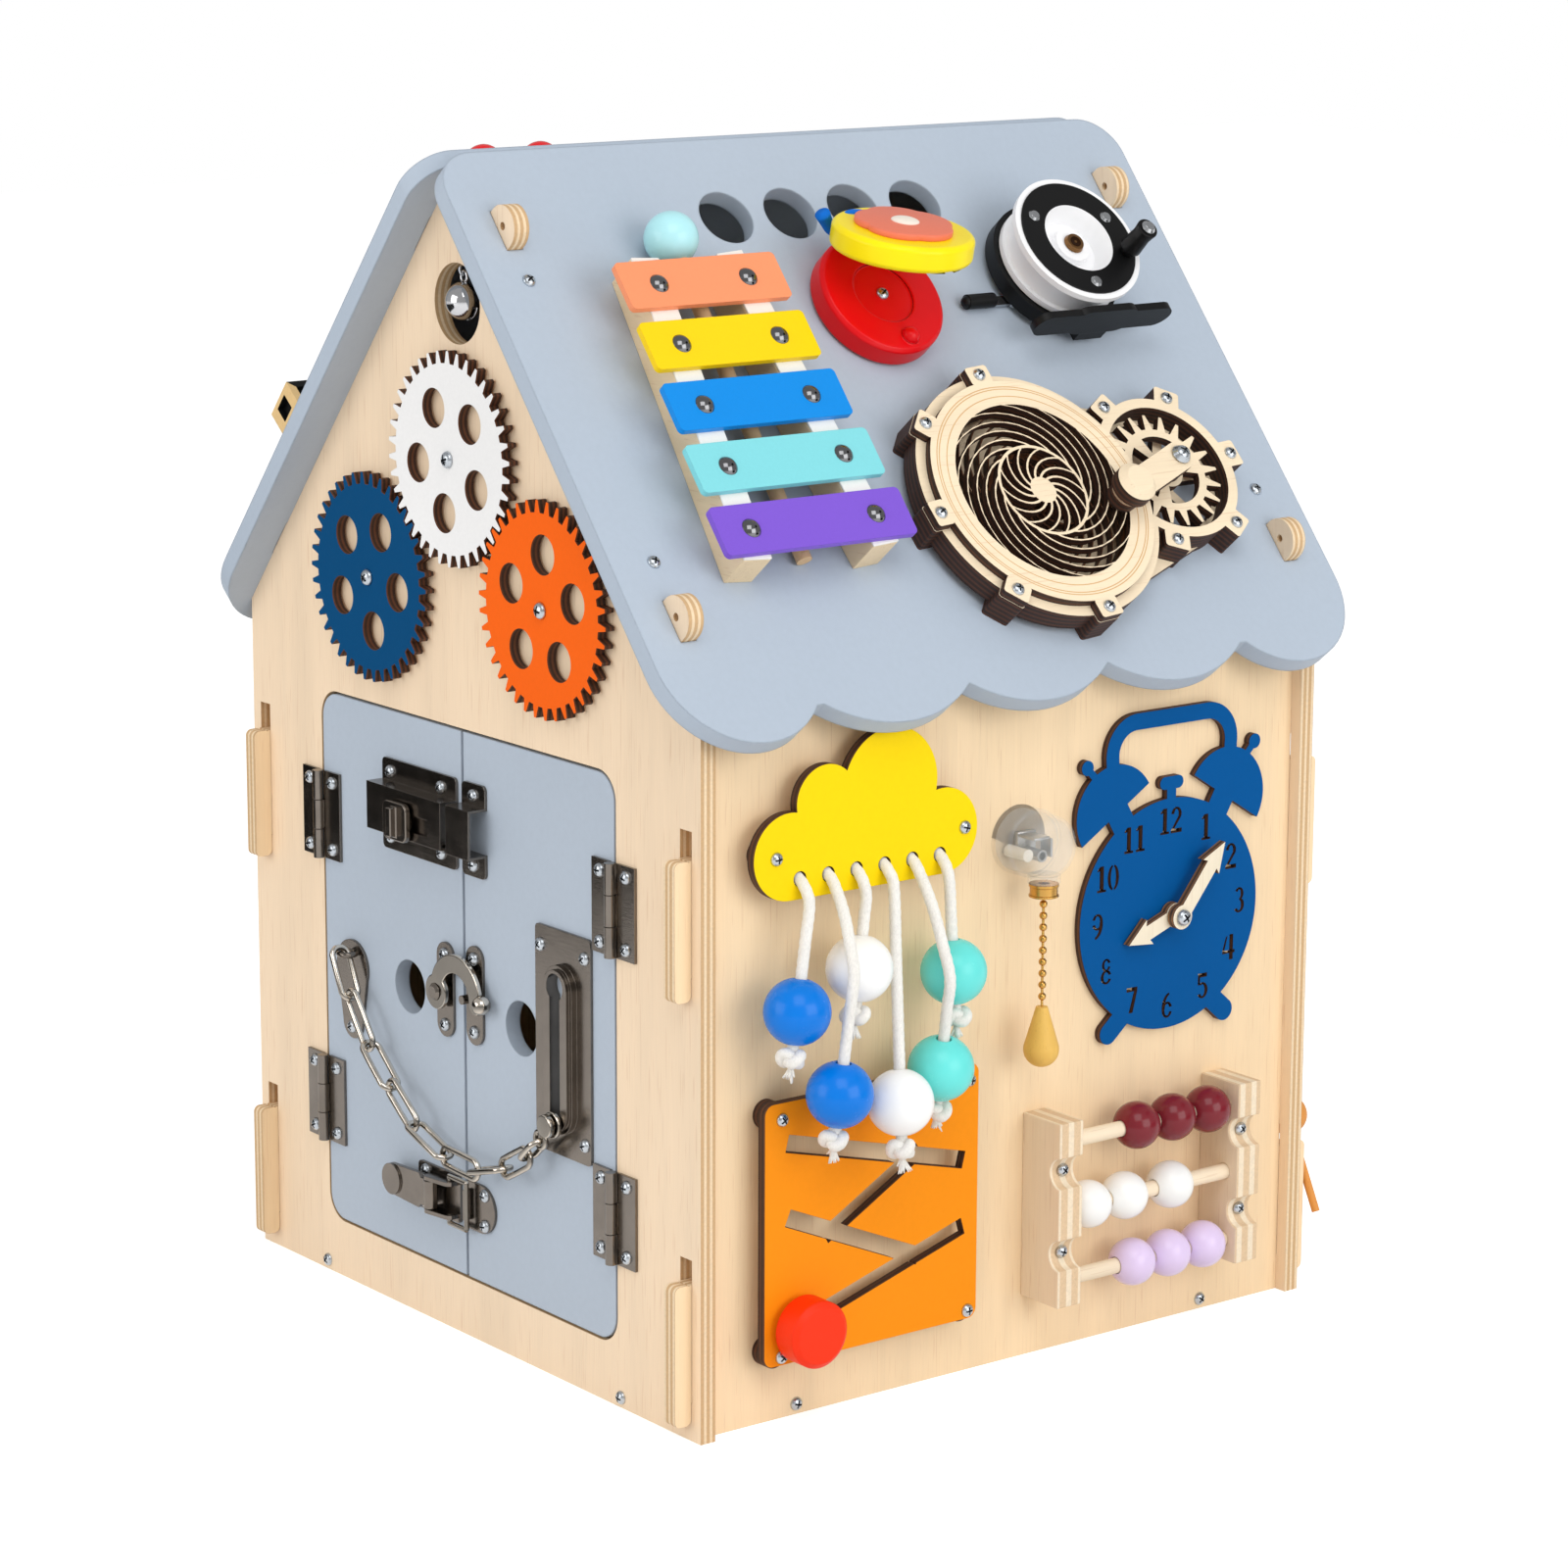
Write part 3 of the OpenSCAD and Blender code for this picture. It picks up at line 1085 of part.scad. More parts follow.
module gearbox_cover() color([0.93, 0.82, 0.62]) at_roof(box_c) translate([0, 0, box_h])
    linear_extrude(3.5) difference() {
        union() {
            difference() {
                circle(box_r - 1.6);
                circle(37.6);
            }
            difference() {
                for (p = box_screws) tab_2d(p, 3.8);
                circle(40);
            }
            difference() {
                circle(19.6);
                circle(18.4);
            }
            circle(5.6);
            for (i = [0:arm_n - 1]) {
                polygon(strip(19, 38, 360/arm_n*i, 360/arm_n*i + 118, 1.7, 12));
                polygon(strip(5, 19, 360/arm_n*i, 360/arm_n*i - 62, 1.1, 8));
            }
        }
        box_holes();
    }
module spiral_wheel() color([0.85, 0.7, 0.5]) at_roof(box_c) translate([0, 0, 7])
    linear_extrude(3.5) difference() {
        union() {
            difference() {
                rotate(box_dir) polygon(teeth(box_n2, box_m*box_n2/2 - 2.6, box_m*box_n2/2 + 2.2, 0.28, 0.1));
                circle(37.6);
            }
            circle(6.5);
            difference() {
                circle(20.5);
                circle(17.5);
            }
            for (i = [0:arm_n - 1]) {
                polygon(strip(18, 38.5, 360/arm_n*i, 360/arm_n*i - 118, 1.6, 12));
                polygon(strip(5, 18.5, 360/arm_n*i, 360/arm_n*i + 62, 1.3, 8));
            }
        }
        circle(2.5 + run_fit);
    }
module drive_gear() color([0.93, 0.82, 0.62]) at_roof(box_c) translate([drive_c[0], drive_c[1], 7])
    difference() {
        union() {
            linear_extrude(3.5) difference() {
                rotate(box_dir + 180 + 180/box_n1)
                    polygon(teeth(box_n1, box_m*box_n1/2 - 4.2, box_m*box_n1/2 + 2.2, 0.32, 0.08));
                for (a = [0:120:240]) stroke([0, 0], 15, 15, 7.5, 7.5, a + 12, a + 108);
            }
            cylinder(r = 5.5, h = 9.6);
        }
        translate([0, 0, -1]) cylinder(r = 2.5 + run_fit, h = 30);
    }
module crank_arm() color([0.93, 0.82, 0.62]) at_roof(box_c) translate([drive_c[0], drive_c[1], 16.6]) rotate(201)
    difference() {
        union() {
            linear_extrude(4.2) pill([0, 0], [37, 0], 12);
            translate([37, 0, 4]) cylinder(r1 = 4, r2 = 7.5, h = 3);
            translate([37, 0, 7]) cylinder(r = 8.2, h = 5);
            translate([37, 0, 12]) cylinder(r1 = 8.2, r2 = 5.5, h = 2.6);
        }
        translate([0, 0, -1]) cylinder(r = 2.5 + run_fit, h = 8);
    }

// Fittings of the far roof and the rear that show past the edges
module far_fittings() color([0.8, 0.1, 0.12]) {
    on_left_roof() {
        for (y = [-122, -96.5]) translate([y, -23, 0]) {
            difference() {
                translate([0, 0, 5.5]) sphere(7.6);
                translate([-10, -10, -9.97]) cube([20, 20, 10]);
            }
        }
        translate([-155, -165, 0.03]) difference() {
            cube([20, 18, 18]);
            translate([-1, 5, 9]) cube([4, 8, 7]);
            translate([3, 15.5, 3]) cube([14, 5, 12]);
        }
    }
    on_rear() translate([131.5, 65.7, 10]) {
        sphere(8);
        translate([0, 0, -9.97]) cylinder(r = 2.5, h = 5);
        rotate(-63.4) rotate([0, 90, 0]) cylinder(r = 1.6, h = 40);
    }
}

front_panel();
rear_panel();
left_wall();
right_wall();
floor_panel();
right_roof();
left_roof();
house_screws();
frame_hinges();
xylophone_rails();
xylophone_bars();
xylophone_nails();
castanet_base();
reel_frame();
gearbox_case();
gearbox_cover();
cloud_board();
maze_board();
board_standoffs();
cloud_ropes();
pull_switch();
clock_face();
abacus_frame();
far_fittings();
white_gear();
blue_gear();
orange_gear();
bell();
mallet();
castanet_lid();
reel_spool();
reel_handle();
reel_lever();
spiral_wheel();
drive_gear();
crank_arm();
rope_bead_1();
rope_bead_2();
rope_bead_3();
rope_bead_4();
rope_bead_5();
rope_bead_6();
maze_knob();
pull_chain();
hour_hand();
minute_hand();
abacus_row_1();
abacus_row_2();
abacus_row_3();
left_door();
left_door_fittings();
left_door_screws();
slide_bolt();
swing_hook();
toggle_lever();
toggle_bail();
door_chain();
right_door();
right_door_fittings();
right_door_screws();
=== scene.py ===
# Wooden activity house: finishes, ropes, chain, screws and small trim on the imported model.
import json
import math

import bmesh
import bpy
from mathutils import Matrix, Vector
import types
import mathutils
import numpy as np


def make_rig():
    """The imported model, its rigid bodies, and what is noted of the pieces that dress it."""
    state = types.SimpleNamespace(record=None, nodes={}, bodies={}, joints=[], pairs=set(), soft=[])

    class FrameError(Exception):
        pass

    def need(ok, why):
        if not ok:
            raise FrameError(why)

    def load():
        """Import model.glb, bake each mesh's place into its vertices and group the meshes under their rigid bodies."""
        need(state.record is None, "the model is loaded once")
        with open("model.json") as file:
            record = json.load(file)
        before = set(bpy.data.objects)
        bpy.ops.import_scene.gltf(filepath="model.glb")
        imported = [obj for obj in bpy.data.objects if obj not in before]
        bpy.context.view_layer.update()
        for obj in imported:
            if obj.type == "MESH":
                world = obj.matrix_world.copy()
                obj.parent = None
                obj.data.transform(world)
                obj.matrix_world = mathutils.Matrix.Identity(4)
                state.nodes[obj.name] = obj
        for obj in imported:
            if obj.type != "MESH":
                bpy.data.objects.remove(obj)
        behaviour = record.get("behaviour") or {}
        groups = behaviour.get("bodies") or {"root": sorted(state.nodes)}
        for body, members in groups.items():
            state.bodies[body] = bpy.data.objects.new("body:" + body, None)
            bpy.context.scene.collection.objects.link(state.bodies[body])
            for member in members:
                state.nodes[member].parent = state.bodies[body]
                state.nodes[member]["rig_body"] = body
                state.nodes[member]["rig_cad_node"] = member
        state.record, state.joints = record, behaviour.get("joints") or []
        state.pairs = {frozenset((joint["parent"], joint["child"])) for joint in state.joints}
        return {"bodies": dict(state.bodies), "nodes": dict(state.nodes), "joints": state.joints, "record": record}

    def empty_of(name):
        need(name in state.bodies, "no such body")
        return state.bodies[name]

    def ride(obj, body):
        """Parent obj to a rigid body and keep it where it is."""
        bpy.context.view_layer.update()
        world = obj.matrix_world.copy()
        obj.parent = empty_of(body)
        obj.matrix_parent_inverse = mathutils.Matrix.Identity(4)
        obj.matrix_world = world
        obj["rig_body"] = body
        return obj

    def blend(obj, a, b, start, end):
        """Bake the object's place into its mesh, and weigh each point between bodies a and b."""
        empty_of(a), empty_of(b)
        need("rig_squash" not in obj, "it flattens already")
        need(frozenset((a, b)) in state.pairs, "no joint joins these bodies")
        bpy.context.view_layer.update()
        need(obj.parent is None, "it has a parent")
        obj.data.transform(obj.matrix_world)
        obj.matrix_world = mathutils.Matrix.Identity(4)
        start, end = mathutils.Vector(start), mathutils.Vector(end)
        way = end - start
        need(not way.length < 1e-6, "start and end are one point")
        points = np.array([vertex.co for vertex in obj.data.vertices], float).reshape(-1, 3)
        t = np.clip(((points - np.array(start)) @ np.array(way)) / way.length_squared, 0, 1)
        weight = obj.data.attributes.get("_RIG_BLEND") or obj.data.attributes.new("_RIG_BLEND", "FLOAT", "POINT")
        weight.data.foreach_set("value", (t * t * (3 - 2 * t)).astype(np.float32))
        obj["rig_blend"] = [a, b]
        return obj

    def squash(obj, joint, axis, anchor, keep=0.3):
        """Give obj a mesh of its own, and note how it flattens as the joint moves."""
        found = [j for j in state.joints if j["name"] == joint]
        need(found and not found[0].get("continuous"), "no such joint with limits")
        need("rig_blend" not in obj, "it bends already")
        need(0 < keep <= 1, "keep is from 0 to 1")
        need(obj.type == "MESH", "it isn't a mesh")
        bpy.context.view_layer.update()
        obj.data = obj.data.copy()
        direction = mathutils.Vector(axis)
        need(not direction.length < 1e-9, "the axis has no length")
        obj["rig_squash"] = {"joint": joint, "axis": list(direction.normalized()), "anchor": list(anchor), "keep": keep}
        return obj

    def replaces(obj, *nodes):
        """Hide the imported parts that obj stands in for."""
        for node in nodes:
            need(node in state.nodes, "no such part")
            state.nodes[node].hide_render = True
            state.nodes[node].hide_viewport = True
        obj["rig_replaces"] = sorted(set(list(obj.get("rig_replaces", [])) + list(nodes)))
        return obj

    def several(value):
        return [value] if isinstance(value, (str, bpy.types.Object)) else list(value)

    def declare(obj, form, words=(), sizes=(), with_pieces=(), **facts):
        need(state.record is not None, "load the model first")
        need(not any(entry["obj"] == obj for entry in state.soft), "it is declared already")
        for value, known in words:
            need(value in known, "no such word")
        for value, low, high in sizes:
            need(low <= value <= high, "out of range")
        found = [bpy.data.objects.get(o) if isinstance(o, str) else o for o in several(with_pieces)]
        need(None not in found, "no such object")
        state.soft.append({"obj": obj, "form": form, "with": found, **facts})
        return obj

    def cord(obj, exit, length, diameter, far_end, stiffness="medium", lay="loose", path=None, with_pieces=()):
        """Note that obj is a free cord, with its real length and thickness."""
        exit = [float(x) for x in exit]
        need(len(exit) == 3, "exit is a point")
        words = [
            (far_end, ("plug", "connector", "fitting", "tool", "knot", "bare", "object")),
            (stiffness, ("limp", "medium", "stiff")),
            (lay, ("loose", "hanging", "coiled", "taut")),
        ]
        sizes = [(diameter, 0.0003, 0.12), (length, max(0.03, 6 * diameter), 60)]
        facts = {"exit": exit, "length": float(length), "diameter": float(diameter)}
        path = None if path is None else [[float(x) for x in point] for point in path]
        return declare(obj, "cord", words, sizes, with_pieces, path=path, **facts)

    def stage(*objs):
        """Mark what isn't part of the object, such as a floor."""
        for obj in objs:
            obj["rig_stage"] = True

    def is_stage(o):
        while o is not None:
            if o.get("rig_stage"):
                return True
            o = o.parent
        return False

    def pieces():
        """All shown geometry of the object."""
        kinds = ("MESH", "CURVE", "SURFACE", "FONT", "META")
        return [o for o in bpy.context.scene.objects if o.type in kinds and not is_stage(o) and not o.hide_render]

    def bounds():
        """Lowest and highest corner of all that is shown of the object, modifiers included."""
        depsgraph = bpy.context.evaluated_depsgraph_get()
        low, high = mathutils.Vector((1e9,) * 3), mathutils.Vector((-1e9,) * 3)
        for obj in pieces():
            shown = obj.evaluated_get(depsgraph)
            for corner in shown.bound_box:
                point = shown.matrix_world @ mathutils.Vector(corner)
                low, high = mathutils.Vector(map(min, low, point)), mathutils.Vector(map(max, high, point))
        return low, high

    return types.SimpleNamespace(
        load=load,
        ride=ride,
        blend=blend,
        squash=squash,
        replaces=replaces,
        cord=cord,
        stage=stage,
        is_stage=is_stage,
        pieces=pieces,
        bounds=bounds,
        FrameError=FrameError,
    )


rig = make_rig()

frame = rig.load()
cad_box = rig.bounds()
nodes = frame["nodes"]
scene = bpy.context.scene
scene.view_settings.view_transform = "Standard"

# Places on the house, in millimetres on a face, with the distance proud of it
MM = 0.001
PITCH = math.radians(50.4)
RIDGE = 459.084
HALF_DEPTH, HALF_WIDTH = 147, 144.5
X, Y, Z = Vector((1, 0, 0)), Vector((0, 1, 0)), Vector((0, 0, 1))
ROOF_OUT = Vector((math.sin(PITCH), 0, math.cos(PITCH)))
ROOF_DOWN = Vector((math.cos(PITCH), 0, -math.sin(PITCH)))
FACES = {
    "front": (Vector((0, -HALF_DEPTH, 0)), X, Z, -Y),
    "wall": (Vector((HALF_WIDTH, 0, 0)), Y, Z, X),
    "rear": (Vector((0, HALF_DEPTH, 0)), -X, Z, Y),
    "far_wall": (Vector((-HALF_WIDTH, 0, 0)), -Y, Z, -X),
    "roof": (Vector((0, 0, RIDGE)), Y, -ROOF_DOWN, ROOF_OUT),
    "far_roof": (
        Vector((0, 0, RIDGE)), -Y, Vector((math.cos(PITCH), 0, math.sin(PITCH))),
        Vector((-math.sin(PITCH), 0, math.cos(PITCH))),
    ),
}
# Where the toys sit on their faces, and sizes that several pieces share
WHITE_GEAR, GEAR_APART = (0, 339.5), 76.4
BELL_EYE = (409, -3.25)
CHAIN_ANCHOR, CHAIN_BUTTON = (-78, 130), (66.6, 101)
HINGE_HEIGHTS, HINGE_HOLE, PLATE_T = (72.6, 188), 13.3, 1.2
SWITCH, CLOCK = (3, 202), (76.5, 163.3)
ROPE_HOLES = [(-107 + 12.8 * i, 204.4) for i in range(6)]
CASTANET, CASTANET_HINGE, CASTANET_OPEN = (1, 89), (1, 61.3, 10.7), 38
REEL, REEL_LEVER = (90, 82), (69.5, 91.8)
GEARBOX, DRIVE_APART, DRIVE_TILT = (26.2, 182.9), 67.8, math.radians(4.5)


def at(face, a, b, off=0.0):
    """A point on a face in metres; on the roofs b is the distance down the slope."""
    origin, across, up, out = FACES[face]
    if face.endswith("roof"):
        b = -b
    if face == "far_roof":
        a = -a
    return (origin + across * a + up * b + out * off) * MM


def seat(face, a, b, off=0.0, turn=0.0):
    """The matrix that sets a piece made flat at the origin on a face."""
    _, across, up, out = FACES[face]
    basis = Matrix((across, up, out)).transposed().to_4x4()
    return Matrix.Translation(at(face, a, b, off)) @ basis @ Matrix.Rotation(math.radians(turn), 4, "Z")


# Camera at the photograph's viewing angle
def set_camera():
    az, el, roll = (math.radians(v) for v in (52.488, 12.327, 0.227))
    ahead = Vector((-math.sin(az) * math.cos(el), math.cos(az) * math.cos(el), -math.sin(el)))
    right = Vector((math.cos(az), math.sin(az), 0))
    right = math.cos(roll) * right + math.sin(roll) * right.cross(ahead)
    data = bpy.data.cameras.new("photo_camera")
    photo_px, focal_px = 1600, 4705.781
    data.sensor_width = 36
    data.lens = focal_px / photo_px * data.sensor_width
    data.clip_start, data.clip_end = 0.05, 50
    camera = bpy.data.objects.new("photo_camera", data)
    scene.collection.objects.link(camera)
    turn = Matrix((right, right.cross(ahead), -ahead)).transposed().to_4x4()
    stand = (1.410634, -1.07821, 0.585705)
    camera.matrix_world = Matrix.Translation(stand) @ turn
    scene.camera = camera


set_camera()


# Node helpers for the finishes
def srgb(r, g, b):
    def one(v):
        v /= 255
        return v / 12.92 if v <= 0.04045 else ((v + 0.055) / 1.055) ** 2.4

    return (one(r), one(g), one(b), 1.0)


def shade(colour, f):
    return tuple(min(1.0, c * f) for c in colour[:3]) + (1.0,)


def new_finish(name, **sockets):
    material = bpy.data.materials.new(name)
    material.use_nodes = True
    tree = material.node_tree
    shader = tree.nodes["Principled BSDF"]
    for key, value in sockets.items():
        shader.inputs[key.replace("_", " ").title().replace("Ior", "IOR")].default_value = value
    return material, tree, shader


def node(tree, kind, **props):
    n = tree.nodes.new("ShaderNode" + kind)
    for key, value in props.items():
        setattr(n, key, value)
    return n


def place_coords(tree, scale=(1, 1, 1)):
    coords = node(tree, "TexCoord")
    mapping = node(tree, "Mapping")
    mapping.inputs["Scale"].default_value = scale
    tree.links.new(coords.outputs["Object"], mapping.inputs["Vector"])
    return mapping.outputs["Vector"]


def noise(tree, vector, scale, detail=3.0, rough=0.55):
    n = node(tree, "TexNoise")
    n.inputs["Scale"].default_value = scale
    n.inputs["Detail"].default_value = detail
    n.inputs["Roughness"].default_value = rough
    tree.links.new(vector, n.inputs["Vector"])
    return n.outputs["Fac"]


def ramp(tree, value, stops):
    n = node(tree, "ValToRGB")
    while len(n.color_ramp.elements) < len(stops):
        n.color_ramp.elements.new(0.5)
    for element, (where, colour) in zip(n.color_ramp.elements, stops):
        element.position = where
        element.color = colour
    tree.links.new(value, n.inputs["Fac"])
    return n.outputs["Color"]


def grey(v):
    return (v, v, v, 1.0)


def blend_colours(tree, kind, factor, a, b):
    n = node(tree, "Mix", data_type="RGBA", blend_type=kind)
    for value, socket in ((factor, n.inputs[0]), (a, n.inputs[6]), (b, n.inputs[7])):
        if isinstance(value, bpy.types.NodeSocket):
            tree.links.new(value, socket)
        else:
            socket.default_value = value
    return n.outputs[2]


def bump(tree, shader, height, strength, distance, soft=0.0003):
    """Fine relief on a normal that is rounded over the edges by soft, in metres."""
    rounded = node(tree, "Bevel", samples=4)
    rounded.inputs["Radius"].default_value = soft
    n = node(tree, "Bump")
    tree.links.new(rounded.outputs["Normal"], n.inputs["Normal"])
    n.inputs["Strength"].default_value = strength
    n.inputs["Distance"].default_value = distance
    tree.links.new(height, n.inputs["Height"])
    tree.links.new(n.outputs["Normal"], shader.inputs["Normal"])


def vary_roughness(tree, shader, value, low, high):
    n = node(tree, "MapRange")
    n.inputs["To Min"].default_value = low
    n.inputs["To Max"].default_value = high
    tree.links.new(value, n.inputs["Value"])
    tree.links.new(n.outputs["Result"], shader.inputs["Roughness"])


# Finishes
LONG = {"x": (1, 30, 30), "y": (30, 1, 30), "z": (30, 30, 1)}


def engrave(tree, tone, centre, axis, radii):
    """Thin brown circles drawn around an axis, radii in millimetres."""
    coords = node(tree, "TexCoord")
    away = node(tree, "VectorMath", operation="SUBTRACT")
    away.inputs[1].default_value = centre
    tree.links.new(coords.outputs["Object"], away.inputs[0])
    across = node(tree, "VectorMath", operation="CROSS_PRODUCT")
    across.inputs[1].default_value = axis
    tree.links.new(away.outputs[0], across.inputs[0])
    far = node(tree, "VectorMath", operation="LENGTH")
    tree.links.new(across.outputs[0], far.inputs[0])
    for r in radii:
        near = node(tree, "Math", operation="COMPARE")
        near.inputs[1].default_value = r * MM
        near.inputs[2].default_value = 0.22 * MM
        tree.links.new(far.outputs["Value"], near.inputs[0])
        tone = blend_colours(tree, "MIX", near.outputs[0], tone, srgb(216, 174, 122))
    return tone


def birch(name, along, colour=(248, 222, 190), figure=0.05, rings=None):
    """Sanded birch veneer with faint figure, fine fibres and short pores along the grain."""
    material, tree, shader = new_finish(name, roughness=0.48, specular_ior_level=0.3)
    base = srgb(*colour)
    stretch = LONG[along]
    broad = noise(tree, place_coords(tree, tuple(0.35 * s + 0.5 for s in stretch)), 3.2, 4, 0.6)
    fibre = noise(tree, place_coords(tree, stretch), 34, 3, 0.7)
    pores = noise(tree, place_coords(tree, tuple(s * 0.8 for s in stretch)), 62, 1, 0.4)
    tone = ramp(tree, broad, [(0.3, shade(base, 1 - 1.7 * figure)), (0.52, base), (0.72, shade(base, 1.03))])
    fine = ramp(tree, fibre, [(0.3, grey(0.92)), (0.6, grey(1.0))])
    tone = blend_colours(tree, "MULTIPLY", 0.45, tone, fine)
    dots = ramp(tree, pores, [(0.28, srgb(196, 150, 108)), (0.36, grey(1.0))])
    tone = blend_colours(tree, "MULTIPLY", 0.2, tone, dots)
    if rings:
        tone = engrave(tree, tone, *rings)
    tree.links.new(tone, shader.inputs["Base Color"])
    vary_roughness(tree, shader, broad, 0.42, 0.56)
    bump(tree, shader, fibre, 0.12, 0.0004)
    return material


def ply_edge(name, axis, step=1.3, light=(242, 217, 180), dark=(212, 174, 128)):
    """Cut plywood edge: thin veneers stacked along the sheet's thickness."""
    material, tree, shader = new_finish(name, roughness=0.62)
    coords = node(tree, "TexCoord")
    along = node(tree, "VectorMath", operation="DOT_PRODUCT")
    along.inputs[1].default_value = axis
    tree.links.new(coords.outputs["Object"], along.inputs[0])
    turns = node(tree, "Math", operation="MULTIPLY")
    turns.inputs[1].default_value = math.pi / (step * MM)
    tree.links.new(along.outputs["Value"], turns.inputs[0])
    wave = node(tree, "Math", operation="SINE")
    tree.links.new(turns.outputs[0], wave.inputs[0])
    layers = ramp(tree, wave.outputs[0], [(0.0, srgb(*dark)), (0.35, srgb(*light))])
    grain = noise(tree, place_coords(tree), 900, 3, 0.7)
    mottle = ramp(tree, grain, [(0.25, grey(0.78)), (0.65, grey(1.0))])
    tree.links.new(blend_colours(tree, "MULTIPLY", 0.7, layers, mottle), shader.inputs["Base Color"])
    vary_roughness(tree, shader, grain, 0.55, 0.75)
    bump(tree, shader, grain, 0.25, 0.0003)
    return material


def satin_paint(name, colour, roughness=0.42, mottling=0.03, grain=420, depth=0.00012, soft=0.0003,
                shine=0.25):
    """Rolled satin paint with a faint orange-peel and slight tone drift."""
    material, tree, shader = new_finish(name, roughness=roughness, specular_ior_level=shine)
    base = srgb(*colour)
    drift = noise(tree, place_coords(tree), 7, 3)
    peel = noise(tree, place_coords(tree), grain, 2, 0.5)
    tone = ramp(tree, drift, [(0.3, shade(base, 1 - mottling)), (0.7, shade(base, 1 + mottling))])
    fine = ramp(tree, peel, [(0.25, grey(0.96)), (0.7, grey(1.0))])
    tree.links.new(blend_colours(tree, "MULTIPLY", 0.7, tone, fine), shader.inputs["Base Color"])
    vary_roughness(tree, shader, drift, roughness - 0.05, roughness + 0.07)
    bump(tree, shader, peel, 0.22, depth, soft)
    return material


def gloss(name, colour, roughness=0.2, coat=0.25, mottling=0.03):
    """Glossy lacquer or moulded plastic with faint unevenness."""
    material, tree, shader = new_finish(name, roughness=roughness, coat_weight=coat, coat_roughness=0.08,
                                        specular_ior_level=0.2)
    base = srgb(*colour)
    drift = noise(tree, place_coords(tree), 60, 2)
    tone = ramp(tree, drift, [(0.3, shade(base, 1 - mottling)), (0.7, shade(base, 1 + mottling))])
    tree.links.new(tone, shader.inputs["Base Color"])
    vary_roughness(tree, shader, noise(tree, place_coords(tree), 190, 3), roughness - 0.05, roughness + 0.08)
    bump(tree, shader, drift, 0.1, 0.0003)
    return material


def painted_reflection_tone(tree):
    """Painted reflection: light and dark by the way a polished face mirrors, as though dark walls stood between a lit
    ceiling and floor.
    """
    split = node(tree, "SeparateXYZ")
    tree.links.new(node(tree, "TexCoord").outputs["Reflection"], split.inputs[0])
    height = node(tree, "MapRange")
    height.inputs["From Min"].default_value = -1.0
    tree.links.new(split.outputs["Z"], height.inputs["Value"])
    return ramp(tree, height.outputs["Result"], [(0.0, grey(0.8)), (0.3, grey(0.3)), (0.52, grey(0.22)),
                                                 (0.64, grey(1.0)), (1.0, grey(1.0))])


def metal(name, colour, roughness, brushed=None, spots=0.12, paint_reflection=False):
    """Plated or polished metal with soft smears and, where brushed, fine lines; with paint_reflection, a painted
    reflection is multiplied into its colour.
    """
    material, tree, shader = new_finish(name, metallic=1.0, roughness=roughness)
    base = srgb(*colour)
    smear = noise(tree, place_coords(tree), 90, 4, 0.6)
    tone = ramp(tree, smear, [(0.3, shade(base, 1 - spots)), (0.7, shade(base, 1 + spots))])
    # Painted reflection: the colour is darkened and lightened by the mirrored direction.
    if paint_reflection:
        tone = blend_colours(tree, "MULTIPLY", 1.0, tone, painted_reflection_tone(tree))
    tree.links.new(tone, shader.inputs["Base Color"])
    vary_roughness(tree, shader, smear, max(0.04, roughness - 0.07), roughness + 0.1)
    lines = noise(tree, place_coords(tree, brushed or (1, 1, 1)), 260, 2, 0.6)
    bump(tree, shader, lines, 0.12 if brushed else 0.05, 0.0002)
    return material


def burnt_edge(name, axis, colour=(58, 30, 18), step=1.0):
    """Laser-cut edge: charred brown with the veneers just showing."""
    return ply_edge(name, axis, step, colour, tuple(c * 0.55 for c in colour))


def clear_plastic(name):
    material, tree, shader = new_finish(name, roughness=0.08, alpha=0.11, ior=1.46)
    cloud = noise(tree, place_coords(tree), 120, 3)
    tone = ramp(tree, cloud, [(0.3, srgb(236, 240, 240)), (0.7, srgb(250, 252, 252))])
    tree.links.new(tone, shader.inputs["Base Color"])
    vary_roughness(tree, shader, cloud, 0.05, 0.16)
    bump(tree, shader, noise(tree, place_coords(tree), 240, 2), 0.15, 0.0003)
    return material


def cotton(name, colour=(246, 243, 236)):
    """Twisted cotton rope: fuzzy fibres, with painted shade making the fibre bump's hollows slightly grey."""
    material, tree, shader = new_finish(name, roughness=0.85, sheen_weight=0.4, sheen_roughness=0.5)
    fibre = noise(tree, place_coords(tree, (1, 1, 0.45)), 1500, 3, 0.7)
    broad = noise(tree, place_coords(tree), 160, 2)
    base = srgb(*colour)
    # Darker where the fibre bump is low: painted shade in its hollows.
    tone = ramp(tree, fibre, [(0.25, shade(base, 0.84)), (0.6, base)])
    drift = ramp(tree, broad, [(0.3, grey(0.94)), (0.7, grey(1.0))])
    tree.links.new(blend_colours(tree, "MULTIPLY", 1.0, tone, drift), shader.inputs["Base Color"])
    bump(tree, shader, fibre, 0.6, 0.0004)
    return material


BIRCH_UP = birch("birch_upright", "z")
BIRCH_SIDE = birch("birch_side", "z", (249, 221, 181))
BIRCH_FLOOR = birch("birch_floor", "y", (232, 205, 166))
EDGE_Y = ply_edge("ply_edge_gable", Y)
EDGE_X = ply_edge("ply_edge_wall", X)
EDGE_Z = ply_edge("ply_edge_floor", Z)
ROOF_PAINT = satin_paint("roof_grey_blue", (179, 191, 205), 0.5, 0.02, 420, 0.00012, 0.0013)
DOOR_PAINT = satin_paint("door_grey_blue", (182, 193, 206), 0.5, 0.02, 420, 0.00012, 0.0009)
DARK_NICKEL = metal("dark_nickel", (128, 120, 112), 0.19, (1, 1, 14))
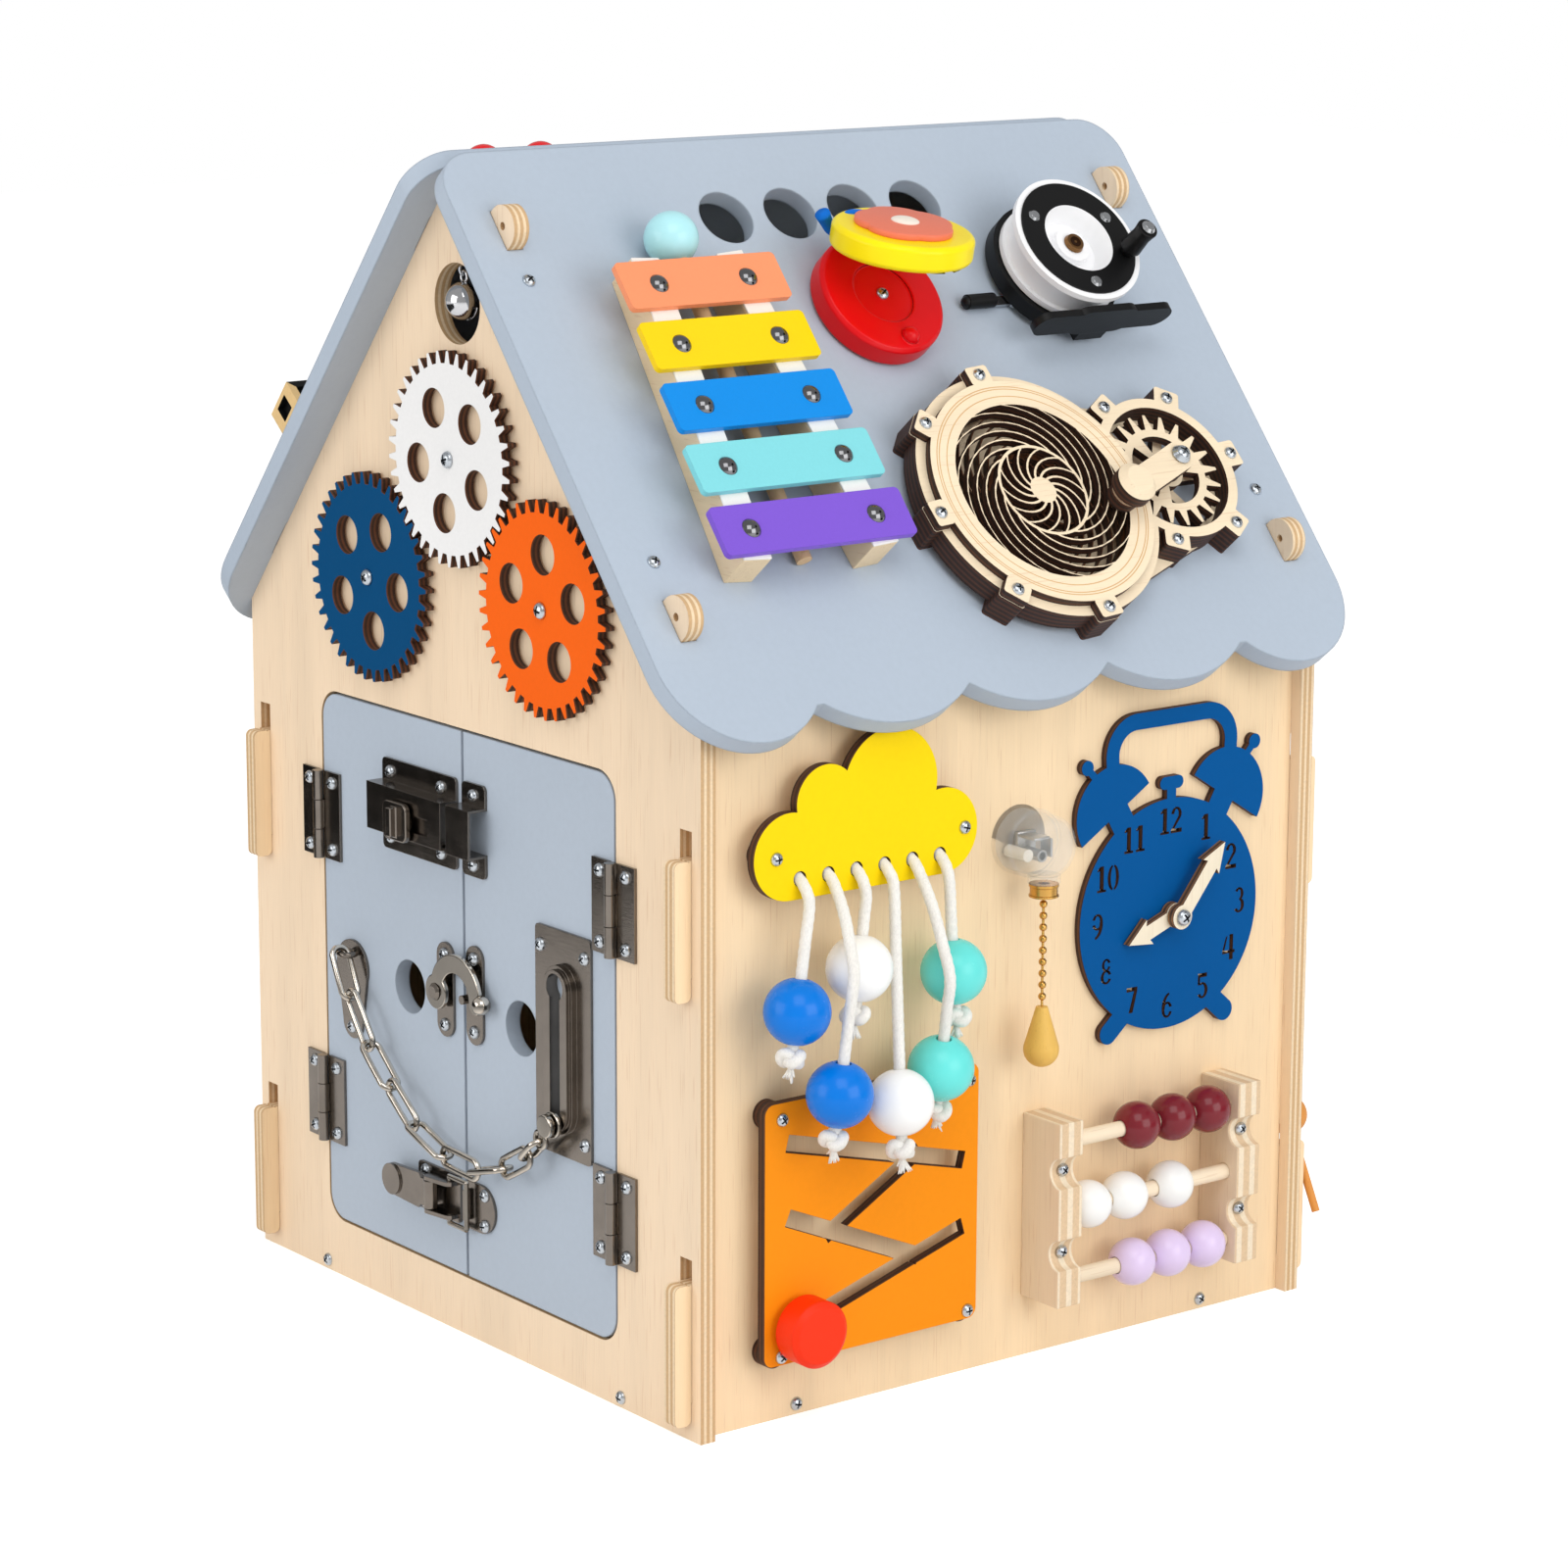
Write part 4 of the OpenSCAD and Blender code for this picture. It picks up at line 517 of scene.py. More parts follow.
# Bright nickel carries a painted reflection in its colour.
BRIGHT_NICKEL = metal("bright_nickel", (236, 226, 212), 0.13, None, 0.1, True)
ZINC = metal("zinc_screw", (196, 202, 208), 0.26)
# Dark metal for the faces inside a screw's cross recess: painted shade.
RECESS_SHADE = metal("screw_recess_shade", (70, 72, 76), 0.5)
CHROME = metal("chrome_dome", (206, 206, 208), 0.08, None, 0.05)
BRASS = metal("brass", (205, 158, 84), 0.24)
COTTON = cotton("cotton_rope")


# CAD nodes: rounded edges and finishes chosen face by face
def dress(name, finishes, choose=None, edge=0.25, segments=2):
    """Gives a CAD node its finishes; choose(centre, normal) returns the finish's place in the list.
    With edge 0 the mesh keeps its corners and the finish's own bump rounds them."""
    piece = nodes[name]
    mesh = piece.data
    mesh.materials.clear()
    for finish in finishes:
        mesh.materials.append(finish)
    for face in mesh.polygons:
        face.use_smooth = True
        face.material_index = choose(face.center / MM, face.normal) if choose else 0
    if "custom_normal" in mesh.attributes:
        mesh.attributes.remove(mesh.attributes["custom_normal"])
    weld = piece.modifiers.new("close_seams", "WELD")
    weld.merge_threshold = 2e-6
    if edge:
        flat = piece.modifiers.new("flat_faces", "DECIMATE")
        flat.decimate_type = "DISSOLVE"
        flat.angle_limit = math.radians(0.6)
        flat.delimit = {"MATERIAL"}
        rounded = piece.modifiers.new("rounded_edges", "BEVEL")
        rounded.width = edge * MM
        rounded.segments = segments
        rounded.limit_method = "ANGLE"
        rounded.angle_limit = math.radians(38)
        rounded.harden_normals = True
        rounded.use_clamp_overlap = False
    else:
        sharp = piece.modifiers.new("sharp_edges", "EDGE_SPLIT")
        sharp.split_angle = math.radians(32)


def by_axis(axis, limit=0.6):
    """0 on the sheet's front, 1 on its cut edges, 2 on its back."""

    def choose(centre, normal):
        n = normal.dot(axis)
        return 0 if n > limit else 2 if n < -limit else 1

    return choose


def roof_local(centre, y, s):
    """Across, up the slope and out from a place on the roof, in millimetres."""
    v = centre - Vector((0, 0, RIDGE))
    return v.y - y, s - v.dot(ROOF_DOWN), v.dot(ROOF_OUT)


def dress_house():
    dress("front_panel", [BIRCH_UP, EDGE_Y, BIRCH_UP], by_axis(-Y), 0)
    dress("rear_panel", [BIRCH_UP, EDGE_Y, BIRCH_UP], by_axis(Y), 0)
    dress("right_wall", [BIRCH_SIDE, EDGE_X, BIRCH_SIDE], by_axis(X), 0)
    dress("left_wall", [BIRCH_SIDE, EDGE_X, BIRCH_SIDE], by_axis(-X), 0)
    dress("floor_panel", [BIRCH_FLOOR, EDGE_Z, BIRCH_FLOOR], by_axis(Z), 0)
    dress("right_roof", [ROOF_PAINT], None, 0)
    dress("left_roof", [ROOF_PAINT], None, 0)


def dress_front():
    dress("left_door", [DOOR_PAINT], None, 0)
    dress("right_door", [DOOR_PAINT], None, 0)
    for name in ("left_door_fittings", "right_door_fittings", "frame_hinges"):
        dress(name, [DARK_NICKEL], None, 0)
    dress("slide_bolt", [DARK_NICKEL], None, 0.6, 3)
    dress("swing_hook", [BRIGHT_NICKEL], None, 0.5, 3)
    dress("toggle_lever", [DARK_NICKEL], None, 0)
    dress("toggle_bail", [BRIGHT_NICKEL], None, 0)
    burnt = burnt_edge("gear_burnt_edge", Y, (104, 58, 32))
    raw = birch("gear_back", "x", (205, 170, 130))
    for name, colour in (("white", (242, 241, 240)), ("blue", (0, 74, 122)), ("orange", (254, 104, 18))):
        paint = satin_paint("gear_" + name, colour, 0.5, 0.03, 700, 0.00012, 0.0003, 0.07)
        dress(name + "_gear", [paint, burnt, raw], by_axis(-Y), 0.15)
    dress("bell", [CHROME], None, 0.1)


def dress_wall():
    burnt = burnt_edge("board_burnt_edge", X, (96, 54, 32))
    raw = birch("board_back", "z", (214, 182, 142))
    for name, tone, colour, shine, edge in (("cloud_board", "cloud_yellow", (255, 218, 0), 0.12, 0.15),
                                            ("maze_board", "maze_orange", (247, 145, 12), 0.12, 0.15),
                                            ("clock_face", "clock_blue", (0, 84, 150), 0.06, 0)):
        paint = satin_paint(tone, colour, 0.5, shine=shine)
        dress(name, [paint, burnt, raw], by_axis(X), edge)
    dress("board_standoffs", [burnt], None, 0.2)
    blue, white, aqua = (gloss("bead_" + n, c, 0.24, 0.1) for n, c in (
        ("blue", (0, 120, 220)), ("white", (250, 250, 249)), ("aqua", (108, 226, 220))))
    for i, finish in enumerate((blue, blue, white, white, aqua, aqua)):
        dress("rope_bead_%d" % (i + 1), [finish], None, 0.5, 3)
    dress("maze_knob", [satin_paint("knob_red", (250, 49, 0), 0.42, 0.02, 500, 0.00012, 0.0012)], None, 0)
    drop = birch("drop_wood", "z", (233, 186, 92), 0.12)
    dress("pull_chain", [BRASS, drop], lambda c, n: 1 if c.z < 141.1 else 0, 0)
    cream = birch("hand_wood", "z", (243, 230, 205), 0.05)
    for name in ("hour_hand", "minute_hand"):
        dress(name, [cream, burnt_edge(name + "_edge", X, (150, 105, 66)), cream], by_axis(X), 0.2)
    pine = birch("abacus_wood", "z", (244, 222, 192), 0.06)
    rod = birch("rod_wood", "y", (246, 228, 200), 0.06)
    edge = ply_edge("abacus_edge", Y, 2.9, (246, 228, 200), (228, 198, 160))
    dress("abacus_frame", [pine, rod, edge], lambda c, n: (
        1 if 19.2 < c.y < 97.8 else 0 if abs(n.y) > 0.6 else 2), 0.5)
    for i, (tone, colour) in enumerate((
            ("burgundy", (124, 34, 44)), ("white", (248, 248, 246)), ("lilac", (226, 206, 240)))):
        dress("abacus_row_%d" % (i + 1), [gloss("abacus_" + tone, colour)], None, 0.4, 3)


def dress_roof():
    rail = birch("rail_wood", "x", (238, 214, 176), 0.09)
    felt = satin_paint("felt_white", (240, 238, 232), 0.8, 0.03, 1500, 0.0004)
    dress("xylophone_rails", [rail, felt], lambda c, n: 1 if roof_local(c, 0, 0)[2] > 15.01 else 0, 0.4)
    bars = [satin_paint("bar_" + n, c, 0.33, 0.02, 900) for n, c in (
        ("coral", (250, 152, 106)), ("yellow", (254, 212, 0)), ("blue", (0, 140, 228)),
        ("aqua", (131, 216, 223)), ("violet", (128, 88, 210)))]
    dress("xylophone_bars", bars, lambda c, n: max(0, min(4, round(
        (-roof_local(c, 0, 0)[1] - 82.5) / 25.85))), 0)
    dress("xylophone_nails", [metal("nail_dome", (124, 124, 126), 0.07, None, 0.05)], None, 0)
    ball = gloss("mallet_aqua", (180, 234, 240))
    stick = birch("mallet_wood", "x", (226, 190, 146), 0.1)
    dress("mallet", [ball, stick], lambda c, n: 1 if -roof_local(c, 0, 0)[1] > 68.7 else 0, 0)
    red = gloss("castanet_red", (228, 2, 14), 0.34, 0.1)
    elastic = satin_paint("elastic_blue", (20, 110, 205), 0.7, 0.05, 1600, 0.0004)
    dress("castanet_base", [red, elastic], lambda c, n: (
        1 if roof_local(c, *CASTANET)[1] > 26.0 and abs(roof_local(c, *CASTANET)[0]) < 8 else 0), 0.6, 3)
    dress("castanet_lid", [gloss("castanet_yellow", (255, 230, 0), 0.34, 0.1)], None, 0.8, 3)
    black = satin_paint("reel_black", (12, 12, 13), 0.42, 0.1, 800)
    white = gloss("reel_white", (246, 246, 247), 0.3, 0.15)
    bush = metal("reel_bush", (142, 104, 66), 0.3)
    steel = metal("reel_steel", (190, 192, 195), 0.22)
    dress("reel_frame", [black, bush], lambda c, n: (
        1 if roof_local(c, *REEL)[2] > 23.1 and abs(roof_local(c, *REEL)[1]) < 6 else 0), 0)

    def spool(centre, normal):
        a, b, out = roof_local(centre, *REEL)
        if out > 27.25:
            return 2
        return 1 if out > 26.55 and math.hypot(a, b) > 14.8 else 0

    dress("reel_spool", [white, black, steel], spool, 0)
    dress("reel_handle", [black], None, 0.6)
    dress("reel_lever", [steel, black], lambda c, n: (
        1 if roof_local(c, *REEL_LEVER)[0] < -11.9 else 0), 0)
    burnt = burnt_edge("gearbox_burnt_edge", ROOF_OUT, (78, 42, 24), 1.1)
    pale = birch("gearbox_wood", "y", (247, 227, 195), 0.05)
    lined = birch("gearbox_cover_wood", "y", (247, 227, 195), 0.05,
                  (at("roof", *GEARBOX), ROOF_OUT, (41.2, 44.4, 45.4)))
    tan = birch("gearbox_inner", "y", (190, 142, 96), 0.08)
    brown = birch("gearbox_wheel", "y", (96, 58, 34), 0.1)
    for name, top in (("gearbox_cover", lined), ("spiral_wheel", brown),
                      ("drive_gear", pale), ("crank_arm", pale)):
        dress(name, [top, burnt, tan], by_axis(ROOF_OUT, 0.35), 0.12 if name == "crank_arm" else 0)
    sheet = by_axis(ROOF_OUT, 0.35)
    dress("gearbox_case", [pale, burnt, tan, ZINC], lambda c, n: (
        3 if roof_local(c, 0, 0)[2] > 21.4 else sheet(c, n)), 0)
    red_knob = gloss("far_knob_red", (228, 10, 22))
    block = birch("far_block_wood", "y", (236, 200, 140), 0.08)
    amber = birch("rear_beater_wood", "z", (224, 150, 70), 0.08)
    # Near-black paint for the faces inside the block's slot and for its shaded faces: painted shade.
    dark = satin_paint("far_block_painted_shade", (14, 14, 14), 0.6)

    def far(centre, normal):
        down = -centre.x * ROOF_DOWN.x + (centre.z - RIDGE) * ROOF_DOWN.z
        if centre.y > 140:
            return 2
        if centre.y > -134:
            return 0
        # Faces in the block's slot and the shaded faces get the near-black: painted shade.
        inside = -154.9 < centre.y < -151.9 and abs(normal.y) < 0.5 and 151.9 < down < 160.1
        shaded = down < 149.6 and centre.y > -152.1 or normal.y < -0.5 and centre.y > -153
        return 3 if inside or shaded else 1

    dress("far_fittings", [red_knob, block, amber, dark], far, 0)


dress_house()
dress_front()
dress_wall()
dress_roof()


# Tools for new pieces
def only(piece):
    bpy.ops.object.select_all(action="DESELECT")
    piece.select_set(True)
    bpy.context.view_layer.objects.active = piece


def finish_piece(piece, name, body, finish=None, matrix=None):
    """Names a piece, sets it in place with its place in its mesh, and lets it ride on a body."""
    piece.name = name
    piece.data.name = name
    if finish:
        piece.data.materials.clear()
        piece.data.materials.append(finish)
    only(piece)
    if matrix is not None:
        piece.matrix_world = matrix @ piece.matrix_world
    bpy.ops.object.transform_apply(location=True, rotation=True, scale=True)
    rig.ride(piece, body)


def smooth(piece, angle=40):
    only(piece)
    bpy.ops.object.shade_smooth_by_angle(angle=math.radians(angle))


def apply_modifier(piece, kind, **props):
    only(piece)
    modifier = piece.modifiers.new(kind.lower(), kind)
    for key, value in props.items():
        setattr(modifier, key, value)
    bpy.ops.object.modifier_apply(modifier=modifier.name)


def copy_of(piece, matrix):
    other = piece.copy()
    other.data = piece.data.copy()
    scene.collection.objects.link(other)
    other.matrix_world = matrix
    return other


def join(pieces):
    bpy.ops.object.select_all(action="DESELECT")
    for p in pieces:
        p.select_set(True)
    bpy.context.view_layer.objects.active = pieces[0]
    bpy.ops.object.join()
    return pieces[0]


def tube_mesh(name, path, radius, sides, lobes=0, lay=0.0):
    """A closed tube along a path in metres; lobes and lay give the twisted strands of a rope."""
    mesh = bpy.data.meshes.new(name)
    shape = bmesh.new()
    rings, gone = [], 0.0
    up = Vector((0.31, 0.2, 0.93)).normalized()
    for i, p in enumerate(path):
        ahead = (path[min(i + 1, len(path) - 1)] - path[max(i - 1, 0)]).normalized()
        if i:
            gone += (p - path[i - 1]).length
        up = (up - ahead * up.dot(ahead)).normalized()
        side = ahead.cross(up)
        ring = []
        for k in range(sides):
            a = 2 * math.pi * k / sides
            r = radius[i] if isinstance(radius, list) else radius
            if lobes:
                r *= 0.9 + 0.1 * abs(math.cos(lobes / 2 * (a + gone * lay)))
            ring.append(shape.verts.new(p + (up * math.cos(a) + side * math.sin(a)) * r))
        rings.append(ring)
    for one, two in zip(rings, rings[1:]):
        for k in range(sides):
            m = (k + 1) % sides
            shape.faces.new((one[k], two[k], two[m], one[m]))
    shape.faces.new(rings[0])
    shape.faces.new(list(reversed(rings[-1])))
    bmesh.ops.recalc_face_normals(shape, faces=shape.faces)
    for face in shape.faces:
        face.smooth = True
    shape.to_mesh(mesh)
    shape.free()
    piece = bpy.data.objects.new(name, mesh)
    scene.collection.objects.link(piece)
    return piece


def flowing(points, step):
    """Points close together along a smooth curve through the given ones."""
    pts = [points[0] * 2 - points[1]] + list(points) + [points[-1] * 2 - points[-2]]
    out = []
    for a, b, c, d in zip(pts, pts[1:], pts[2:], pts[3:]):
        count = max(2, int((c - b).length / step))
        for k in range(count):
            t = k / count
            out.append(0.5 * (2 * b + (c - a) * t + (2 * a - 5 * b + 4 * c - d) * t * t
                              + (3 * b - 3 * c + d - a) * t ** 3))
    out.append(points[-1])
    return out


# Ropes with their beads: route on the right wall as y, height, distance proud
BEADS = [(-114.9, 159, 19.5), (-102.2, 128.4, 28), (-87, 170.5, 19.5),
         (-76.9, 121.8, 31), (-53.2, 129.2, 24.8), (-43.3, 162.6, 19.5)]
PASSES = {1: (-98.5, 172, 31), 4: (-54.5, 164, 31)}
ROPE_R = 2.2


def rope_route(i):
    hole_y, hole_z = ROPE_HOLES[i]
    bead = Vector(BEADS[i])
    route = [Vector((hole_y, hole_z + 0.9, 7.6)), Vector((hole_y, hole_z - 0.2, 10.2)),
             Vector((hole_y, hole_z - 3.0, 13.6))]
    if i in PASSES:
        top = Vector(PASSES[i])
        start = route[-1]
        route += [start.lerp(top, share) + Vector((0, 0, lift)) for share, lift in ((0.3, 2.2), (0.68, 1.6))]
        route.append(top)
    else:
        top = Vector((hole_y, hole_z - 8.5, 16.0))
        route.append(top)
    down = (bead - top).normalized()
    route += [top.lerp(bead, k) for k in (0.33, 0.66)]
    route += [bead, bead + down * 9, bead + down * 14, bead + down * 17]
    return [at("wall", p.x, p.y, p.z) for p in flowing(route, 1.1)], down


def trefoil(size):
    out = []
    for k in range(61):
        t = 2 * math.pi * k / 60
        out.append(Vector((math.sin(t) + 2 * math.sin(2 * t), math.cos(t) - 2 * math.cos(2 * t),
                           -1.25 * math.sin(3 * t))) * size)
    return out


def tie_knot(i, down):
    """An overhand knot under the bead with the rope's frayed end below it."""
    body = "rope_bead_%d" % (i + 1)
    out = X * down.z + Y * down.x + Z * down.y
    centre = at("wall", *BEADS[i]) + out * (16.6 * MM)
    axis = out.to_track_quat("Z", "Y").to_matrix().to_4x4()
    turn = Matrix.Translation(centre) @ axis @ Matrix.Rotation(0.9 * i, 4, "Z")
    ring = [turn @ (p * MM) for p in trefoil(1.3)[:-1]]
    knot = tube_mesh("knot", ring + ring[:2], ROPE_R * MM, 14, 3, 900)
    ends = []
    for k in range(16):
        a = 2.4 * k + i
        spread = 0.6 + 2.6 * ((k * 0.618) % 1)
        tip = 3.6 + 3.0 * ((k * 0.381 + 0.17 * i) % 1)
        line = [turn @ (Vector((0.5 * spread * math.cos(a) * u, 0.5 * spread * math.sin(a) * u, 0)) * MM
                        + Vector((spread * math.cos(a + 0.5) * u * u * 0.7,
                                  spread * math.sin(a + 0.5) * u * u * 0.7, 2.5 + tip * u)) * MM)
                for u in (0, 0.35, 0.7, 1.0)]
        ends.append(tube_mesh("fibre", line, [0.75 * MM, 0.65 * MM, 0.5 * MM, 0.2 * MM], 6))
    tuft = join(ends)
    finish_piece(knot, "rope_knot_%d" % (i + 1), body, COTTON)
    finish_piece(tuft, "rope_tuft_%d" % (i + 1), body, COTTON)
    return [knot, tuft]


def length_of(path):
    return sum((b - a).length for a, b in zip(path, path[1:]))


def hang_ropes():
    for i in range(6):
        path, down = rope_route(i)
        strand = tube_mesh("rope_strand_%d" % (i + 1), path, ROPE_R * MM, 18, 3, 620)
        strand.data.materials.append(COTTON)
        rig.blend(strand, "house", "rope_bead_%d" % (i + 1), start=path[4], end=at("wall", *BEADS[i]))
        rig.cord(strand, exit=path[0], length=length_of(path), diameter=2 * ROPE_R * MM, far_end="knot",
                stiffness="limp", lay="hanging", path=path, with_pieces=tie_knot(i, down))
        if i == 0:
            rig.replaces(strand, "cloud_ropes")
    for i, j in ((0, 1), (2, 3), (4, 5)):
        a, b = ROPE_HOLES[i][0], ROPE_HOLES[j][0]
        line = flowing([at("wall", *p) for p in (
            (a, 204.6, 7.4), (a + 1.6, 204.9, 4.2), ((a + b) / 2, 205, 3.2), (b - 1.6, 204.9, 4.2),
            (b, 204.6, 7.4))], MM)
        back = tube_mesh("rope", line, ROPE_R * MM, 14, 3, 620)
        finish_piece(back, "rope_behind_%d" % (i // 2 + 1), "house", COTTON)


hang_ropes()


# Door chain: welded links, an end plate and the button in the track
CHAIN = [(-76.2, 137.8, 7.9), (-68.3, 121.9, 8), (-54.4, 104.7, 8.5), (-38.7, 92.2, 9), (-22.5, 80.2, 9),
         (-1.5, 73.2, 9), (20, 72.3, 9), (38.8, 77.8, 9), (54.5, 86.5, 9), (62, 93.5, 9)]
LINK_HALF, LINK_WIRE, LINK_PLAY = 3.7, 1.2, 0.25


def wire_ring(radius, wire):
    bpy.ops.mesh.primitive_torus_add(major_segments=32, minor_segments=12, major_radius=radius * MM,
                                     minor_radius=wire * MM)
    return bpy.context.object


def chain_link(p, q, roll):
    a, b = Vector(p), Vector(q)
    d = b - a
    reach = d.length / 2 + LINK_WIRE + LINK_PLAY - LINK_HALF
    link = wire_ring(LINK_HALF, LINK_WIRE)
    bpy.ops.object.mode_set(mode="EDIT")
    for sign in (-1, 1):
        bpy.ops.mesh.select_all(action="DESELECT")
        shape = bmesh.from_edit_mesh(link.data)
        for v in shape.verts:
            v.select_set(v.co.x * sign > 1e-6)
        shape.select_flush(True)
        bmesh.update_edit_mesh(link.data)
        bpy.ops.transform.translate(value=(sign * reach * MM, 0, 0))
    bpy.ops.object.mode_set(mode="OBJECT")
    smooth(link, 60)
    turn = (Matrix.Rotation(math.atan2(d.y, d.x), 4, "Z")
            @ Matrix.Rotation(-math.asin(d.z / d.length), 4, "Y")
            @ Matrix.Rotation(math.radians(roll), 4, "X"))
    middle = (a + b) / 2
    link.matrix_world = seat("front", middle.x, middle.y, middle.z) @ turn
    return link


def hang_chain():
    links = [chain_link(p, q, 90 if i % 2 == 0 else 0) for i, (p, q) in enumerate(zip(CHAIN, CHAIN[1:]))]
    ex, ez, off = CHAIN[-1]
    bx, bz = CHAIN_BUTTON
    a = math.atan2(bz - ez, bx - ex)
    eye = wire_ring(3.2, 1.0)
    smooth(eye, 60)
    eye.matrix_world = seat("front", ex + 1.9 * math.cos(a), ez + 1.9 * math.sin(a), off)
    bpy.ops.mesh.primitive_cube_add(size=1)
    tongue = bpy.context.object
    bpy.ops.transform.resize(value=(6.5 * MM, 4.6 * MM, 2 * MM))
    bpy.ops.object.transform_apply(scale=True)
    apply_modifier(tongue, "BEVEL", width=0.8 * MM, segments=3)
    smooth(tongue)
    middle = (ex + 5 * math.cos(a) + bx) / 2, (ez + 5 * math.sin(a) + bz) / 2
    tongue.matrix_world = seat("front", *middle, off, math.degrees(a))
    buttons = []
    for r, low, high in ((5, 5.4, 7.0), (2, 5.4, 8.4), (4.4, 8.0, 10.4)):
        bpy.ops.mesh.primitive_cylinder_add(vertices=40, radius=r * MM, depth=(high - low) * MM)
        button = bpy.context.object
        apply_modifier(button, "BEVEL", width=0.5 * MM, segments=3, limit_method="ANGLE")
        smooth(button)
        button.matrix_world = seat("front", bx, bz, (low + high) / 2)
        buttons.append(button)
    chain = join(links + [eye, tongue] + buttons)
    finish_piece(chain, "door_chain_links", "left_door", BRIGHT_NICKEL)
    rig.replaces(chain, "door_chain")
    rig.squash(chain, "left_door_swing", axis=(1, 0, 0), anchor=at("front", *CHAIN_ANCHOR, 5), keep=0.3)


hang_chain()


# Screws with cross recesses
def screw_head(width, height):
    """A pan head with a cross recess, its underside at the origin."""
    bpy.ops.mesh.primitive_uv_sphere_add(segments=28, ring_count=14, radius=width / 2 * MM)
    head = bpy.context.object
    bpy.ops.transform.resize(value=(1, 1, 2 * height / width))
    bpy.ops.object.transform_apply(scale=True)
    bpy.ops.object.mode_set(mode="EDIT")
    bpy.ops.mesh.select_all(action="SELECT")
    bpy.ops.mesh.bisect(plane_co=(0, 0, 0.0001 * MM), plane_no=(0, 0, 1), use_fill=True, clear_inner=True)
    bpy.ops.object.mode_set(mode="OBJECT")
    for turn in (0, 90):
        bpy.ops.mesh.primitive_cube_add(size=1)
        cutter = bpy.context.object
        bpy.ops.transform.resize(value=(width * 0.58 * MM, width * 0.13 * MM, height * 1.1 * MM))
        bpy.ops.object.transform_apply(scale=True)
        cutter.matrix_world = (Matrix.Translation((0, 0, height * 0.95 * MM))
                               @ Matrix.Rotation(math.radians(turn + 20), 4, "Z"))
        apply_modifier(head, "BOOLEAN", operation="DIFFERENCE", object=cutter, solver="EXACT")
        bpy.data.objects.remove(cutter)
    head.data.materials.clear()
    head.data.materials.append(ZINC)
    head.data.materials.append(RECESS_SHADE)
    # The faces inside the cross recess take the dark metal: painted shade.
    for face in head.data.polygons:
        c = face.center / MM
        inside = math.hypot(c.x, c.y) < width * 0.3 and c.z < height * 0.8 and c.z > 0.05
        face.material_index = 1 if inside else 0
    smooth(head, 35)
    return head


def spread_heads(model, places, name, body, node_name):
    heads = [copy_of(model, seat(*p)) for p in places]
    piece = join(heads)
    finish_piece(piece, name, body)
    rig.replaces(piece, node_name)


